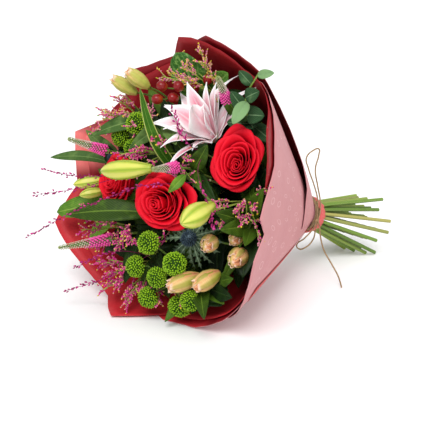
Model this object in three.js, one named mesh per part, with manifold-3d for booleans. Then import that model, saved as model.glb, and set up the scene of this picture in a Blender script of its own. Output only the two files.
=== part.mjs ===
// A hand-tied mixed bouquet in florist paper, lying on a surface. Lengths are in millimetres.
// The bunch is modelled along its own axis: u to the right, v up, and w from the tie towards the blooms.
// At the end it is tilted so that the rim of the paper and the lowest cut stems lie on the surface.
import * as THREE from "three";
import { mergeVertices } from "three/addons/utils/BufferGeometryUtils.js";
import Module from "manifold-3d";

const wasm = await Module();
wasm.setup();

// Driving dimensions of the bunch
const TIE_HEIGHT = 79;
const TILT = THREE.MathUtils.degToRad(19);
const CUT_END = -141;
const CUFF_FOOT = -22;
const CUFF_TOP = -3.8;
const PAPER_FOOT = -3;
const KNEE = 6;
const CLEARANCE = 0.6;
const TOLERANCE = 0.2;
const UP = new THREE.Vector3(0, Math.cos(TILT), Math.sin(TILT));

// Driving dimensions of the stems in the neck
const STEM_RADIUS = 2.55;
const STEM_PITCH = 6;
const NECK_RINGS = 3;
const FAN = 2;

// Driving dimensions of the paper
const PAPER = 0.8;
const NECK_RADIUS = 21.6;
const FLARE = 0.61;
const LAYER_GAP = 1.3;
const LAYER_SPREAD = 0.009;
const RIM_DISTANCE = 240;
const BILLOW = 8;

// Driving dimensions of the twine
const TWINE = 2;
const BINDING_INSIDE = NECK_RADIUS + 2 * LAYER_GAP + PAPER / 2 + 1.3;
const BINDING_FOOT = 0.2;

const at = (u, v, w) => new THREE.Vector3(u, v, w);
const heightOf = (point) => TIE_HEIGHT + point.dot(UP);
const degrees = (angle) => THREE.MathUtils.degToRad(angle);
const bell = (x, centre, width) => Math.exp(-(((x - centre) / width) ** 2));

// Seeded random numbers, so that every build gives the same bunch
function dice(seed) {
  let state = seed;
  return () => {
    state = (state + 0x6d2b79f5) | 0;
    let mixed = Math.imul(state ^ (state >>> 15), 1 | state);
    mixed = (mixed + Math.imul(mixed ^ (mixed >>> 7), 61 | mixed)) ^ mixed;
    return ((mixed ^ (mixed >>> 14)) >>> 0) / 4294967296;
  };
}

// Keeps position alone, merges shared corners, drops faces of no area and turns the faces outwards
function closed(geometry) {
  for (const name of Object.keys(geometry.attributes)) {
    if (name !== "position") geometry.deleteAttribute(name);
  }
  const merged = mergeVertices(geometry, 1e-3);
  const corners = merged.index.array;
  const faces = [];
  for (let i = 0; i < corners.length; i += 3) {
    const [a, b, c] = [corners[i], corners[i + 1], corners[i + 2]];
    if (a !== b && b !== c && a !== c) faces.push(a, b, c);
  }
  merged.setIndex(faces);
  if (signedVolume(merged) < 0) {
    for (let i = 0; i < faces.length; i += 3) [faces[i], faces[i + 1]] = [faces[i + 1], faces[i]];
    merged.setIndex(faces);
  }
  return merged;
}

function corner(geometry, index) {
  return new THREE.Vector3().fromBufferAttribute(geometry.attributes.position, index);
}

function signedVolume(geometry) {
  const faces = geometry.index.array;
  let sum = 0;
  for (let i = 0; i < faces.length; i += 3) {
    const [a, b, c] = [0, 1, 2].map((k) => corner(geometry, faces[i + k]));
    sum += a.dot(b.cross(c)) / 6;
  }
  return sum;
}

// The same shape with every face moved out by a margin
function grown(geometry, margin) {
  const faces = geometry.index.array;
  const count = geometry.attributes.position.count;
  const around = Array.from({ length: count }, () => []);
  for (let i = 0; i < faces.length; i += 3) {
    const [a, b, c] = [0, 1, 2].map((k) => corner(geometry, faces[i + k]));
    const normal = b.sub(a).cross(c.sub(a)).normalize();
    for (let k = 0; k < 3; k++) around[faces[i + k]].push(normal);
  }
  const moved = geometry.clone();
  around.forEach((normals, index) => {
    const outward = normals.reduce((sum, normal) => sum.add(normal), new THREE.Vector3()).normalize();
    const steepest = Math.max(0.3, Math.min(...normals.map((normal) => normal.dot(outward))));
    const point = corner(geometry, index).addScaledVector(outward, margin / steepest);
    moved.attributes.position.setXYZ(index, point.x, point.y, point.z);
  });
  return moved;
}

function solid(geometry) {
  const mesh = new wasm.Mesh({
    numProp: 3,
    vertProperties: new Float32Array(geometry.attributes.position.array),
    triVerts: new Uint32Array(geometry.index.array),
  });
  return new wasm.Manifold(mesh);
}

const fused = (geometries) => wasm.Manifold.union(geometries.map(solid));
const swollen = (geometries) => fused(geometries.flatMap((geometry) => [geometry, grown(geometry, CLEARANCE)]));

function largestBody(manifold) {
  const bodies = manifold.decompose();
  return bodies.reduce((best, body) => (body.volume() > best.volume() ? body : best));
}

function meshGeometry(manifold) {
  const mesh = manifold.getMesh();
  const geometry = new THREE.BufferGeometry();
  geometry.setAttribute("position", new THREE.BufferAttribute(new Float32Array(mesh.vertProperties), 3));
  geometry.setIndex(new THREE.BufferAttribute(new Uint32Array(mesh.triVerts), 1));
  geometry.computeVertexNormals();
  return geometry;
}

// Turns a shape that was made along +Z so that it stands at a foot and points along an axis
function aimed(geometry, foot, axis, roll = 0) {
  const turn = new THREE.Quaternion().setFromUnitVectors(at(0, 0, 1), axis.clone().normalize());
  turn.multiply(new THREE.Quaternion().setFromAxisAngle(at(0, 0, 1), roll));
  return geometry.applyMatrix4(new THREE.Matrix4().compose(foot, turn, at(1, 1, 1)));
}

// A route through given points, where each step of a tube ends on a point
class Route extends THREE.Curve {
  constructor(points) {
    super();
    this.points = points;
  }
  getUtoTmapping(u) {
    return u;
  }
  getPoint(t, target = new THREE.Vector3()) {
    const place = Math.min(Math.max(t, 0), 1) * (this.points.length - 1);
    const index = Math.min(Math.floor(place), this.points.length - 2);
    return target.lerpVectors(this.points[index], this.points[index + 1], place - index);
  }
  // Sections keep one bearing, so that neighbouring stems lie corner to corner
  computeFrenetFrames(segments) {
    const tangents = Array.from({ length: segments + 1 }, (_, i) => this.getTangentAt(i / segments));
    const mean = tangents.reduce((sum, tangent) => sum.add(tangent), new THREE.Vector3()).normalize();
    const bearing = Math.abs(mean.x) < 0.8 ? at(1, 0, 0) : at(0, 1, 0);
    const square = (tangent) => bearing.clone().addScaledVector(tangent, -bearing.dot(tangent)).normalize();
    const normals = tangents.map(square);
    const binormals = tangents.map((tangent, i) => new THREE.Vector3().crossVectors(tangent, normals[i]));
    return { tangents, normals, binormals };
  }
}

// A closed tube along points, with one radius or a radius at each point
function tube(points, radii, sides) {
  const radius = Array.isArray(radii) ? radii[0] : radii;
  const outline = new THREE.Shape(
    Array.from({ length: sides }, (_, k) => {
      const angle = (2 * Math.PI * k) / sides;
      return new THREE.Vector2(radius * Math.cos(angle), radius * Math.sin(angle));
    }),
  );
  const steps = points.length - 1;
  const geometry = new THREE.ExtrudeGeometry(outline, { steps, extrudePath: new Route(points) });
  if (Array.isArray(radii)) resized(geometry, points, radii);
  return closed(geometry);
}

// Draws each section of a tube in or out, to its own radius
function resized(geometry, points, radii) {
  const positions = geometry.attributes.position;
  for (let i = 0; i < positions.count; i++) {
    const point = corner(geometry, i);
    const distances = points.map((p) => p.distanceTo(point));
    const nearest = distances.indexOf(Math.min(...distances));
    point.sub(points[nearest]).multiplyScalar(radii[nearest] / radii[0]).add(points[nearest]);
    positions.setXYZ(i, point.x, point.y, point.z);
  }
}

// A twig whose small flowers or seeds swell out of it by turns on either side, from a share of its length
function beaded(curve, { count, from, swell, radius = 0.75, seed }) {
  const random = dice(seed);
  const points = [curve.getPointAt(0), curve.getPointAt(from * 0.5)];
  const radii = [radius, radius];
  for (let k = 0; k < count; k++) {
    const share = from + ((1 - from) * k) / count;
    const lean = at(random() - 0.5, random() - 0.5, random() - 0.5).normalize().multiplyScalar(swell * 0.8);
    points.push(curve.getPointAt(share), curve.getPointAt(share + (0.45 * (1 - from)) / count).add(lean));
    radii.push(radius, swell * (0.85 + 0.3 * random()));
  }
  points.push(curve.getPointAt(1));
  radii.push(radius * 0.7);
  return tube(points, radii, 3);
}

// A thin blade with a keen edge: surface(s, t) is its middle, with s from -1 to 1 across and t from 0 to 1
function blade(surface, thickness, across, along) {
  const points = [];
  const faces = [];
  const index = [[], []];
  for (const side of [0, 1]) {
    for (let j = 0; j <= along; j++) {
      for (let i = 0; i <= across; i++) {
        const edge = i === 0 || i === across || j === 0 || j === along;
        const key = j * (across + 1) + i;
        if (edge && side === 1) {
          index[1][key] = index[0][key];
          continue;
        }
        const s = (2 * i) / across - 1;
        const t = j / along;
        const point = surface(s, t);
        if (!edge) point.addScaledVector(bladeNormal(surface, s, t), (side === 0 ? 0.5 : -0.5) * thickness);
        index[side][key] = points.length;
        points.push(point);
      }
    }
  }
  for (let j = 0; j < along; j++) {
    for (let i = 0; i < across; i++) {
      for (const side of [0, 1]) {
        const near = j * (across + 1) + i;
        const far = near + across + 1;
        const [a, b, c, d] = [near, near + 1, far + 1, far].map((key) => index[side][key]);
        if (side === 0) faces.push(a, b, c, a, c, d);
        else faces.push(a, c, b, a, d, c);
      }
    }
  }
  const geometry = new THREE.BufferGeometry().setFromPoints(points);
  geometry.setIndex(faces);
  return closed(geometry);
}

function bladeNormal(surface, s, t) {
  const reach = 0.02;
  const side = surface(s + reach, t).sub(surface(s - reach, t));
  const forward = surface(s, t + reach).sub(surface(s, t - reach));
  return side.cross(forward).normalize();
}

// A leaf from its foot to its tip. Arch lifts its middle along a facing direction, fold raises its two sides,
// belly is where it is widest and a small blunt rounds it.
function leaf({ foot, tip, width, facing, arch = 0.12, belly = 0.45, blunt = 0.75, wave = 0, along = 4 }) {
  const fold = 0.15;
  const run = tip.clone().sub(foot);
  const length = run.length();
  const forward = run.clone().normalize();
  const side = new THREE.Vector3().crossVectors(forward, facing).normalize();
  const face = new THREE.Vector3().crossVectors(side, forward);
  const peak = Math.log(0.5) / Math.log(belly);
  const surface = (s, t) => {
    const bounded = Math.min(Math.max(t, 0), 1);
    const half = Math.max(0.35, (width / 2) * Math.sin(Math.PI * bounded ** peak) ** blunt);
    const lift = length * arch * Math.sin(Math.PI * t) + half * fold * Math.abs(s);
    const ripple = wave * half * Math.abs(s) * Math.sin(5 * Math.PI * t + 2 * s);
    const point = foot.clone().addScaledVector(run, t);
    return point.addScaledVector(side, s * half).addScaledVector(face, lift + ripple);
  };
  return blade(surface, 1.3, 2, along);
}

// A solid of revolution from [radius, height] pairs, with ribs raised along it
function turned(profile, sides, ribs = 0, relief = 0) {
  const outline = profile.map(([radius, height]) => new THREE.Vector2(radius, height));
  const geometry = new THREE.LatheGeometry(outline, sides);
  geometry.rotateX(Math.PI / 2);
  const shape = closed(geometry);
  const positions = shape.attributes.position;
  for (let i = 0; i < positions.count; i++) {
    const angle = Math.atan2(positions.getY(i), positions.getX(i));
    const scale = 1 + relief * Math.cos(ribs * angle);
    positions.setXY(i, positions.getX(i) * scale, positions.getY(i) * scale);
  }
  return shape;
}

// Paper: radius of the wrap at an angle and a distance from the tie. Layers count outwards from the lining.
function wrapRadius(angle, w, layer) {
  const out = Math.max(0, w - KNEE);
  const share = out / (RIM_DISTANCE - KNEE);
  const sag = 16 * (bell(angle, -42, 28) + bell(angle, 318, 28));
  const pinch = 20 * (bell(angle, 5, 30) + bell(angle, 365, 30));
  const rest = 5 * bell(angle, 280, 16);
  const pleats = 2.2 * Math.cos(degrees(7 * angle + 30));
  const cone = NECK_RADIUS + FLARE * out + layer * (LAYER_GAP + LAYER_SPREAD * out);
  return cone + share * (rest + pleats - pinch) + share ** 0.6 * sag;
}

// Angles of the pleats in degrees. All sheets bend at the same pleats, so that they lie in each other.
const PLEATS = [
  -52, -42, -30, -18, -9, -3, 9, 20, 30, 42, 48, 55, 66, 76, 89, 102, 113, 127, 136, 146, 160, 169, 180, 190,
  206, 222, 238, 249, 261, 277, 288, 300, 308, 318, 330, 342,
];

// Corners of a sheet's free edge are [angle of a pleat, distance from the tie]
function paperSheet({ corners, layer, standOff = () => 0 }) {
  const reachAt = (angle) => {
    const after = Math.max(1, corners.findIndex(([other]) => other >= angle));
    const [[a, reachA], [b, reachB]] = [corners[after - 1], corners[after]];
    return reachA + ((reachB - reachA) * (angle - a)) / (b - a);
  };
  const span = PLEATS.filter((angle) => angle >= corners[0][0] && angle <= corners[corners.length - 1][0]);
  const columns = span.map((angle) => [angle, reachAt(angle)]);
  const rowCount = 4;
  const lastRow = rowCount - 1;
  const row = (reach, j) => (j === 0 ? PAPER_FOOT : KNEE + ((reach - KNEE) * (j - 1)) / (rowCount - 2));
  const points = [];
  const skin = (side) =>
    columns.map(([angle, reach]) =>
      Array.from({ length: rowCount }, (_, j) => {
        const w = row(reach, j);
        const radius = wrapRadius(angle, w, layer(angle)) + standOff(angle, w) + side * PAPER / 2;
        const point = at(radius * Math.cos(degrees(angle)), radius * Math.sin(degrees(angle)), w);
        const lowest = (side > 0 ? 0 : PAPER) + (2 - layer(angle)) * LAYER_GAP;
        point.addScaledVector(UP, Math.max(0, lowest - heightOf(point)));
        points.push(point);
        return points.length - 1;
      }),
    );
  const outer = skin(1);
  const inner = skin(-1);
  const faces = [];
  const quad = (a, b, c, d) => faces.push(a, b, c, a, c, d);
  const last = columns.length - 1;
  for (let i = 0; i < last; i++) {
    for (let j = 0; j < rowCount - 1; j++) {
      quad(outer[i][j], outer[i + 1][j], outer[i + 1][j + 1], outer[i][j + 1]);
      const [a, b, c, d] = [inner[i][j], inner[i + 1][j], inner[i + 1][j + 1], inner[i][j + 1]];
      faces.push(a, c, b, a, d, c);
    }
    quad(inner[i][0], inner[i + 1][0], outer[i + 1][0], outer[i][0]);
    quad(outer[i][lastRow], outer[i + 1][lastRow], inner[i + 1][lastRow], inner[i][lastRow]);
  }
  for (let j = 0; j < rowCount - 1; j++) {
    quad(inner[0][j], outer[0][j], outer[0][j + 1], inner[0][j + 1]);
    quad(outer[last][j], inner[last][j], inner[last][j + 1], outer[last][j + 1]);
  }
  const geometry = new THREE.BufferGeometry().setFromPoints(points);
  geometry.setIndex(faces);
  return closed(geometry);
}

const smooth = (low, high, x) => THREE.MathUtils.smoothstep(x, low, high);

const outerSheet = () =>
  paperSheet({
    corners: [
      [-18, 66], [9, 70], [30, 78], [42, 110], [48, 175], [55, 262], [66, 262], [89, 268], [102, 250],
      [113, 246], [127, 254], [136, 263], [146, 243], [160, 250], [169, 277], [190, 259], [206, 283],
      [238, 253], [249, 250], [261, 224], [277, 240], [288, 236], [318, 240],
    ],
    layer: (angle) => 2 - smooth(270, 304, angle),
    standOff: (angle, w) => BILLOW * bell(angle, 48, 30) * Math.sin((Math.PI * Math.max(0, w - KNEE)) / 270),
  });

const frontSheet = () =>
  paperSheet({
    corners: [
      [-52, 226], [-30, 268], [-18, 284], [-9, 264], [-3, 294], [9, 264], [20, 246], [30, 258], [42, 266],
      [55, 254], [66, 236], [76, 215],
    ],
    layer: (angle) => 2 - smooth(-42, -20, angle),
  });

const liningSheet = () =>
  paperSheet({
    corners: [
      [9, 268], [20, 270], [30, 288], [42, 274], [55, 262], [66, 256], [76, 262], [89, 266], [102, 273],
      [113, 246], [136, 252], [146, 242], [160, 254], [169, 268], [190, 246], [206, 262], [238, 246],
      [249, 262], [261, 279],
      [277, 226], [300, 228], [342, 240],
    ],
    layer: () => 0,
  });

const cuff = () =>
  turned(
    [
      [NECK_RADIUS, CUFF_FOOT + 1],
      [NECK_RADIUS + 1.2, CUFF_FOOT],
      [NECK_RADIUS + 5, -8],
      [NECK_RADIUS + 4.6, CUFF_TOP],
      [NECK_RADIUS, CUFF_TOP],
      [NECK_RADIUS, CUFF_FOOT + 1],
    ],
    20,
  );

// Twine: three turns side by side round the neck, a knot at the front, and free ends
function bindingTurns() {
  const profile = [[BINDING_INSIDE, BINDING_FOOT]];
  for (const turn of [0, 1, 2]) {
    const foot = BINDING_FOOT + turn * TWINE;
    profile.push([BINDING_INSIDE + TWINE / 2, foot], [BINDING_INSIDE + TWINE, foot + TWINE / 2]);
  }
  const top = BINDING_FOOT + 3 * TWINE;
  profile.push([BINDING_INSIDE, top], [BINDING_INSIDE, BINDING_FOOT]);
  return turned(profile, 16);
}

// Routes of the free twine. It leaves the knot, and the tail ends on the surface.
const KNOT = at(29.9, -5.4, 3.2);
const UPPER_LOOP = [
  at(30.6, -3, 4.4), at(29.6, 8, 6), at(26, 24, 8), at(17, 42, 12), at(4, 62, 16), at(-2.5, 76, 18),
  at(1, 88, 12), at(4, 92, 4), at(3, 84, 0), at(3, 64, 0), at(14, 42, 0), at(25, 22, 0), at(30, 7, 1),
  at(30.6, -3, 2),
];
const LOWER_LOOP = [
  at(30.6, -8, 4.6), at(31, -18, 9), at(27, -33, 17), at(21.5, -44.5, 23), at(24, -48.5, 20), at(28, -44, 10),
  at(31, -32, 3), at(30, -20, 1), at(30.6, -8, 2),
];
const TAIL = [
  at(32, -6, 3.2), at(37, -11, 4), at(45, -22, 8), at(60, -41, 11), at(77, -58, 7), at(90, -71, 4.5),
  at(100, -83.6, 5),
];

// Stem hubs: where each stem ends at its bloom, leaf or first branch, with its radius there
const STEMS = {
  rose_right: { hub: at(91, 38, 238), radius: 2.6 },
  rose_centre: { hub: at(30, -20, 256), radius: 2.6 },
  rose_left: { hub: at(-66, -13, 246), radius: 2.4 },
  lily_tall: { hub: at(2, 22, 262), radius: 2.4 },
  lily_right: { hub: at(32, 73, 232), radius: 2.55 },
  lily_left: { hub: at(-105, -17, 250), radius: 1.8 },
  chrysanthemum_front: { hub: at(24, -84, 215), radius: 1.9 },
  chrysanthemum_back: { hub: at(-62, 44, 230), radius: 1.7 },
  eryngium_front: { hub: at(66, -50, 262), radius: 1.6 },
  eryngium_left: { hub: at(-92, 8, 250), radius: 1.5 },
  alstroemeria_right: { hub: at(106, -44, 212), radius: 1.8 },
  alstroemeria_front: { hub: at(92, -82, 222), radius: 1.8 },
  alstroemeria_top: { hub: at(-38, 88, 236), radius: 1.8 },
  veronica_upper: { hub: at(-76, 22, 256), radius: 1.4 },
  veronica_lower: { hub: at(-46, -72, 266), radius: 1.4 },
  veronica_centre: { hub: at(48, 24, 280), radius: 1.4 },
  veronica_right: { hub: at(72, 104, 254), radius: 1.4 },
  hypericum: { hub: at(-10, 106, 228), radius: 1.8 },
  eucalyptus: { hub: at(92, 92, 232), radius: 1.6 },
  blade_upright: { hub: at(12, 6, 236), radius: 2 },
  blade_upper: { hub: at(-48, 80, 248), radius: 2 },
  blade_left: { hub: at(-112, 6, 246), radius: 1.8 },
  leaf_left: { hub: at(-96, -36, 240), radius: 2 },
  leaf_broad_left: { hub: at(-10, -38, 262), radius: 2.2 },
  leaf_round_top: { hub: at(-16, 118, 226), radius: 1.8 },
  leaf_right: { hub: at(112, -22, 226), radius: 2 },
  leaf_front: { hub: at(50, -110, 222), radius: 2 },
  filler_top: { hub: at(12, 120, 226), radius: 1.5 },
  filler_upper_left: { hub: at(-82, 66, 240), radius: 1.5 },
  filler_centre: { hub: at(-18, 36, 268), radius: 1.5 },
  filler_right: { hub: at(104, 4, 236), radius: 1.5 },
  filler_left: { hub: at(-72, -66, 246), radius: 1.5 },
  filler_front: { hub: at(-32, -100, 230), radius: 1.5 },
  grass_long: { hub: at(70, 18, 270), radius: 1.1 },
  grass_left: { hub: at(-40, 13, 270), radius: 1.1 },
  grass_low: { hub: at(-12, -92, 260), radius: 1.1 },
  grass_lily: { hub: at(56, 48, 276), radius: 1.1 },
};

// Places in the neck: one in the middle, then rings of six, twelve and eighteen
function neckPlaces() {
  const centre = new THREE.Vector2(0, 0);
  const places = [centre];
  for (let ring = 1; ring <= NECK_RINGS; ring++) {
    const end = (side) => new THREE.Vector2(ring * STEM_PITCH, 0).rotateAround(centre, (side * Math.PI) / 3);
    for (let side = 0; side < 6; side++) {
      for (let step = 0; step < ring; step++) places.push(end(side).lerp(end(side + 1), step / ring));
    }
  }
  return places;
}

// Two stems change places while that lets them spread without crossing
function sortedPlaces(hubs) {
  const places = neckPlaces().slice(0, hubs.length);
  const spread = hubs.map((hub) => new THREE.Vector2(hub.x, hub.y).divideScalar(hub.z - KNEE));
  for (let swapped = true; swapped; ) {
    swapped = false;
    for (let i = 0; i < hubs.length; i++) {
      for (let j = i + 1; j < hubs.length; j++) {
        const apart = places[j].clone().sub(places[i]).dot(spread[j].clone().sub(spread[i]));
        if (apart < -1e-9) {
          [places[i], places[j]] = [places[j], places[i]];
          swapped = true;
        }
      }
    }
  }
  return places;
}

const stemNames = Object.keys(STEMS);
const stemPlaces = sortedPlaces(stemNames.map((name) => STEMS[name].hub));

// The cut end of a stem: it fans out past the cuff, further below than above, and never under the surface
function cutEnd(place, order) {
  const length = CUT_END + 26 * dice(order + 7)();
  const share = (CUFF_FOOT - length) / (CUFF_FOOT - CUT_END);
  const fan = 1 + share * (FAN + 0.25 * ((place.x - place.y) / (STEM_PITCH * NECK_RINGS)));
  const end = at(place.x * fan, place.y * fan, length);
  return end.addScaledVector(UP, Math.max(0, STEM_RADIUS + 0.4 - heightOf(end)));
}

function stemRoute(name) {
  const order = stemNames.indexOf(name);
  const place = stemPlaces[order];
  return [cutEnd(place, order), at(place.x, place.y, CUFF_FOOT), at(place.x, place.y, KNEE), STEMS[name].hub];
}

function mainStem(name) {
  return tube(stemRoute(name), [STEM_RADIUS, STEM_RADIUS, STEM_RADIUS, STEMS[name].radius], 6);
}

// The direction in which a stem arrives at its hub
function stemAxis(name) {
  const route = stemRoute(name);
  return route[3].clone().sub(route[2]).normalize();
}

// A side shoot that leaves a point with a bend and arrives at another
function shoot(from, to, radius, sides = 3, bend = 0.12) {
  const middle = from.clone().lerp(to, 0.5);
  middle.addScaledVector(at(middle.x, middle.y, 0).normalize(), from.distanceTo(to) * bend);
  return tube([from, middle, to], radius, sides);
}

// Rose: a tight middle and three rings of petals that open outwards
const ROSE_RINGS = [
  { petals: 3, foot: 5, lip: 0.36, rise: 1, half: 62, curl: 0.01 },
  { petals: 4, foot: 7, lip: 0.68, rise: 0.95, half: 52, curl: 0.05 },
  { petals: 5, foot: 8, lip: 1, rise: 0.8, half: 43, curl: 0.14 },
];

function rosePetals({ seat, axis, radius, height, seed }) {
  const random = dice(seed);
  const inside = [[0, 0], [10.5, 3], [radius * 0.34, height * 0.3], [radius * 0.14, height * 0.8]];
  inside.push([0, height * 0.84]);
  const parts = [aimed(turned(inside, 7), seat, axis)];
  for (const ring of ROSE_RINGS) {
    for (let k = 0; k < ring.petals; k++) {
      const bearing = (2 * Math.PI * (k + random() * 0.3)) / ring.petals + ring.lip * 3;
      const half = degrees(ring.half);
      const size = 1 + 0.08 * (random() - 0.5);
      const petal = (s, t) => {
        const open = Math.max(0, t) ** 0.62;
        const curl = 3 * radius * ring.curl * Math.max(0, t - 0.75);
        const reach = ring.foot + (radius * ring.lip * size - ring.foot) * open + curl;
        const narrow = Math.sin(Math.PI * (0.14 + 0.62 * Math.min(1, Math.max(0, t)))) ** 0.7;
        const angle = bearing + s * half * narrow;
        const lift = height * (0.04 + (ring.rise * size - 0.04) * t) - height * 0.07 * s * s * t;
        return at((reach + 1.6 * s) * Math.cos(angle), (reach + 1.6 * s) * Math.sin(angle), lift);
      };
      parts.push(aimed(blade(petal, 1.5, 2, 3), seat, axis));
    }
  }
  return parts;
}

// Green calyx and top leaves of a rose
function roseGreens(name, axis, leaves) {
  const seat = STEMS[name].hub;
  const calyx = [[0, -9], [STEMS[name].radius, -7], [6.5, -3], [7.5, -0.6], [0, -0.6]];
  const parts = [aimed(turned(calyx, 6), seat, axis)];
  for (const [foot, tip, width] of leaves) {
    const joint = seat.clone().addScaledVector(stemAxis(name), -foot);
    const base = joint.clone().lerp(tip, 0.3);
    parts.push(tube([joint, base], 1.1, 3));
    parts.push(leaf({ foot: joint.clone().lerp(tip, 0.26), tip, width, facing: at(0.2, 0, 1), arch: 0.1 }));
  }
  return parts;
}

// Double lily: long petals that rise together from a slim throat and then fan out. Each has its bearing round
// the throat and its opening in degrees, then its size and how far its tip rolls back.
const LILY_PETALS = [
  { bearing: 122, opening: 25, length: 84, width: 27, curl: 0.02 },
  { bearing: 72, opening: 35, length: 80, width: 20, curl: 0.02 },
  { bearing: 7, opening: 6, length: 76, width: 34, curl: 0.04 },
  { bearing: 195, opening: 21, length: 82, width: 32, curl: 0.03 },
  { bearing: 203, opening: 42, length: 88, width: 24, curl: 0.1 },
  { bearing: 244, opening: 28, length: 78, width: 17, curl: 0.03 },
  { bearing: 288, opening: 46, length: 52, width: 16, curl: 0.04 },
  { bearing: 270, opening: 55, length: 84, width: 18, curl: 0.06 },
  { bearing: 33, opening: 58, length: 60, width: 27, curl: 0.06 },
  { bearing: 78, opening: 46, length: 86, width: 18, curl: 0.16 },
  { bearing: 60, opening: 57, length: 84, width: 20, curl: 0.18 },
  { bearing: 150, opening: 48, length: 80, width: 24, curl: 0.1 },
];

function lilyPetal({ bearing, opening, length, width, curl }) {
  const out = length * Math.sin(degrees(opening));
  const up = length * Math.cos(degrees(opening));
  return (s, place) => {
    const t = Math.min(1, Math.max(0, place));
    const full = (0.16 + 0.84 * smooth(0.1, 0.45, t)) * (1 - smooth(0.5, 1.05, t));
    const half = Math.max(0.5, (width / 2) * full);
    const rising = 3 * t * (1 - t) ** 2;
    const bending = 3 * t * t * (1 - t);
    const rolled = length * curl * (Math.max(0, t - 0.6) / 0.4) ** 2;
    const cup = 0.18 * half * Math.abs(s);
    const reach = 4 * (1 - t) ** 3 + (4 + 0.16 * out) * rising + 0.62 * out * bending + out * t ** 3;
    const raised = 0.34 * up * rising + 0.8 * up * bending + up * t ** 3 + place - t;
    return at(reach + rolled - cup, s * half, raised - 1.4 * rolled + cup)
      .applyAxisAngle(at(0, 0, 1), degrees(bearing));
  };
}

function lilyBloom({ seat, axis }) {
  const throat = aimed(turned([[0, 0], [4.5, 1], [7, 14], [9, 26], [0, 24]], 8), seat, axis);
  return [throat, ...LILY_PETALS.map((petal) => aimed(blade(lilyPetal(petal), 1.3, 2, 3), seat, axis))];
}

// Lily bud: long, with six ribs
function lilyBud(foot, tip, radius) {
  const length = foot.distanceTo(tip);
  const profile = [[0, 0], [0.42, 0.04], [0.92, 0.4], [1, 0.6], [0.72, 0.86], [0, 1]];
  const shape = turned(profile.map(([r, z]) => [r * radius, z * length]), 12, 6, 0.055);
  return [aimed(shape, foot, tip.clone().sub(foot))];
}

// Button chrysanthemum: a dense ball whose florets stand out all over
function buttonHead(centre, radius, axis, seed) {
  const ball = closed(new THREE.IcosahedronGeometry(1, 1));
  const random = dice(seed);
  const positions = ball.attributes.position;
  for (let i = 0; i < positions.count; i++) {
    const point = corner(ball, i).multiplyScalar(radius * (0.92 + 0.16 * random()));
    positions.setXYZ(i, point.x, point.y, point.z * 0.8);
  }
  return aimed(ball, centre, axis);
}

function chrysanthemumSpray(name, heads, radius) {
  const hub = STEMS[name].hub;
  return heads.map((head, k) => ({
    twig: shoot(hub, head.clone().lerp(hub, 0.12), 1.3, 4),
    head: buttonHead(head, radius * (1 - 0.05 * (k % 3)), head.clone().sub(hub), 40 + k),
  }));
}

// Eryngium: a spiny cone above a star of toothed bracts
function eryngiumHead({ seat, axis, size, bracts, seed }) {
  const random = dice(seed);
  const cone = closed(new THREE.IcosahedronGeometry(1, 1));
  const positions = cone.attributes.position;
  for (let i = 0; i < positions.count; i++) {
    const point = corner(cone, i).multiplyScalar(size * (i % 2 ? 0.36 : 0.28));
    positions.setXYZ(i, point.x, point.y, point.z * 1.25);
  }
  const parts = [aimed(cone.translate(0, 0, size * 0.34), seat, axis)];
  for (let k = 0; k < bracts; k++) {
    const bearing = (2 * Math.PI * (k + 0.25 * random())) / bracts;
    const reach = size * (1.05 + 0.25 * random());
    const bract = (s, t) => {
      const tooth = Math.round(t * 4) % 2 ? 1 : 0.4;
      const half = Math.max(0.35, size * 0.17 * tooth * (1 - 0.8 * t) + 0.3);
      const out = 1.5 + reach * t;
      const up = size * (0.1 + 0.5 * t - 0.5 * t * t) + 0.16 * half * Math.abs(s);
      return at(out, s * half, up).applyAxisAngle(at(0, 0, 1), bearing);
    };
    parts.push(aimed(blade(bract, 1.3, 2, 4), seat, axis));
  }
  return parts;
}

// Alstroemeria bud: six folded petals whose tips begin to open
function alstroemeriaBud(foot, tip, radius) {
  const length = foot.distanceTo(tip);
  const profile = [[0, 0], [0.34, 0.03], [0.95, 0.5], [1, 0.72], [0.66, 1], [0, 0.82]];
  const shape = turned(profile.map(([r, z]) => [r * radius, z * length]), 6, 3, 0.09);
  return aimed(shape, foot, tip.clone().sub(foot));
}

// Veronica spike: tiers of small flowers that taper to a bare tip
function veronicaSpike(foot, tip, radius) {
  const length = foot.distanceTo(tip);
  const tiers = 7;
  const profile = [[0, 0]];
  for (let k = 0; k <= tiers; k++) {
    const share = k / tiers;
    const swell = k % 2 ? 1 : 0.74;
    profile.push([radius * swell * (1 - 0.68 * share ** 1.6), length * (0.02 + 0.94 * share)]);
  }
  profile.push([0, length]);
  return aimed(turned(profile, 6, 3, 0.1), foot, tip.clone().sub(foot));
}

function berry(centre, radius, axis) {
  const shape = closed(new THREE.SphereGeometry(1, 6, 4));
  shape.rotateX(Math.PI / 2).scale(radius, radius, radius * 1.15);
  return aimed(shape, centre, axis);
}

// Filler spray: bent twigs that carry small flowers out to their tips
function fillerSpray(name, tips, seed) {
  const hub = STEMS[name].hub;
  return tips.map((tip, k) => {
    const outward = at(hub.x, hub.y, 0).normalize();
    const middle = hub.clone().lerp(tip, 0.5).addScaledVector(outward, hub.distanceTo(tip) * 0.1);
    const twig = new THREE.QuadraticBezierCurve3(hub, middle, tip);
    return beaded(twig, { count: 4, from: 0.42, swell: 2.5, seed: seed + 10 * k });
  });
}

// Dyed grass: a thin stalk with small long seeds lying along it
function grassPlume(points, seeds, from, seed) {
  return beaded(new THREE.CatmullRomCurve3(points), { count: seeds, from, swell: 1.5, seed });
}

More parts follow.
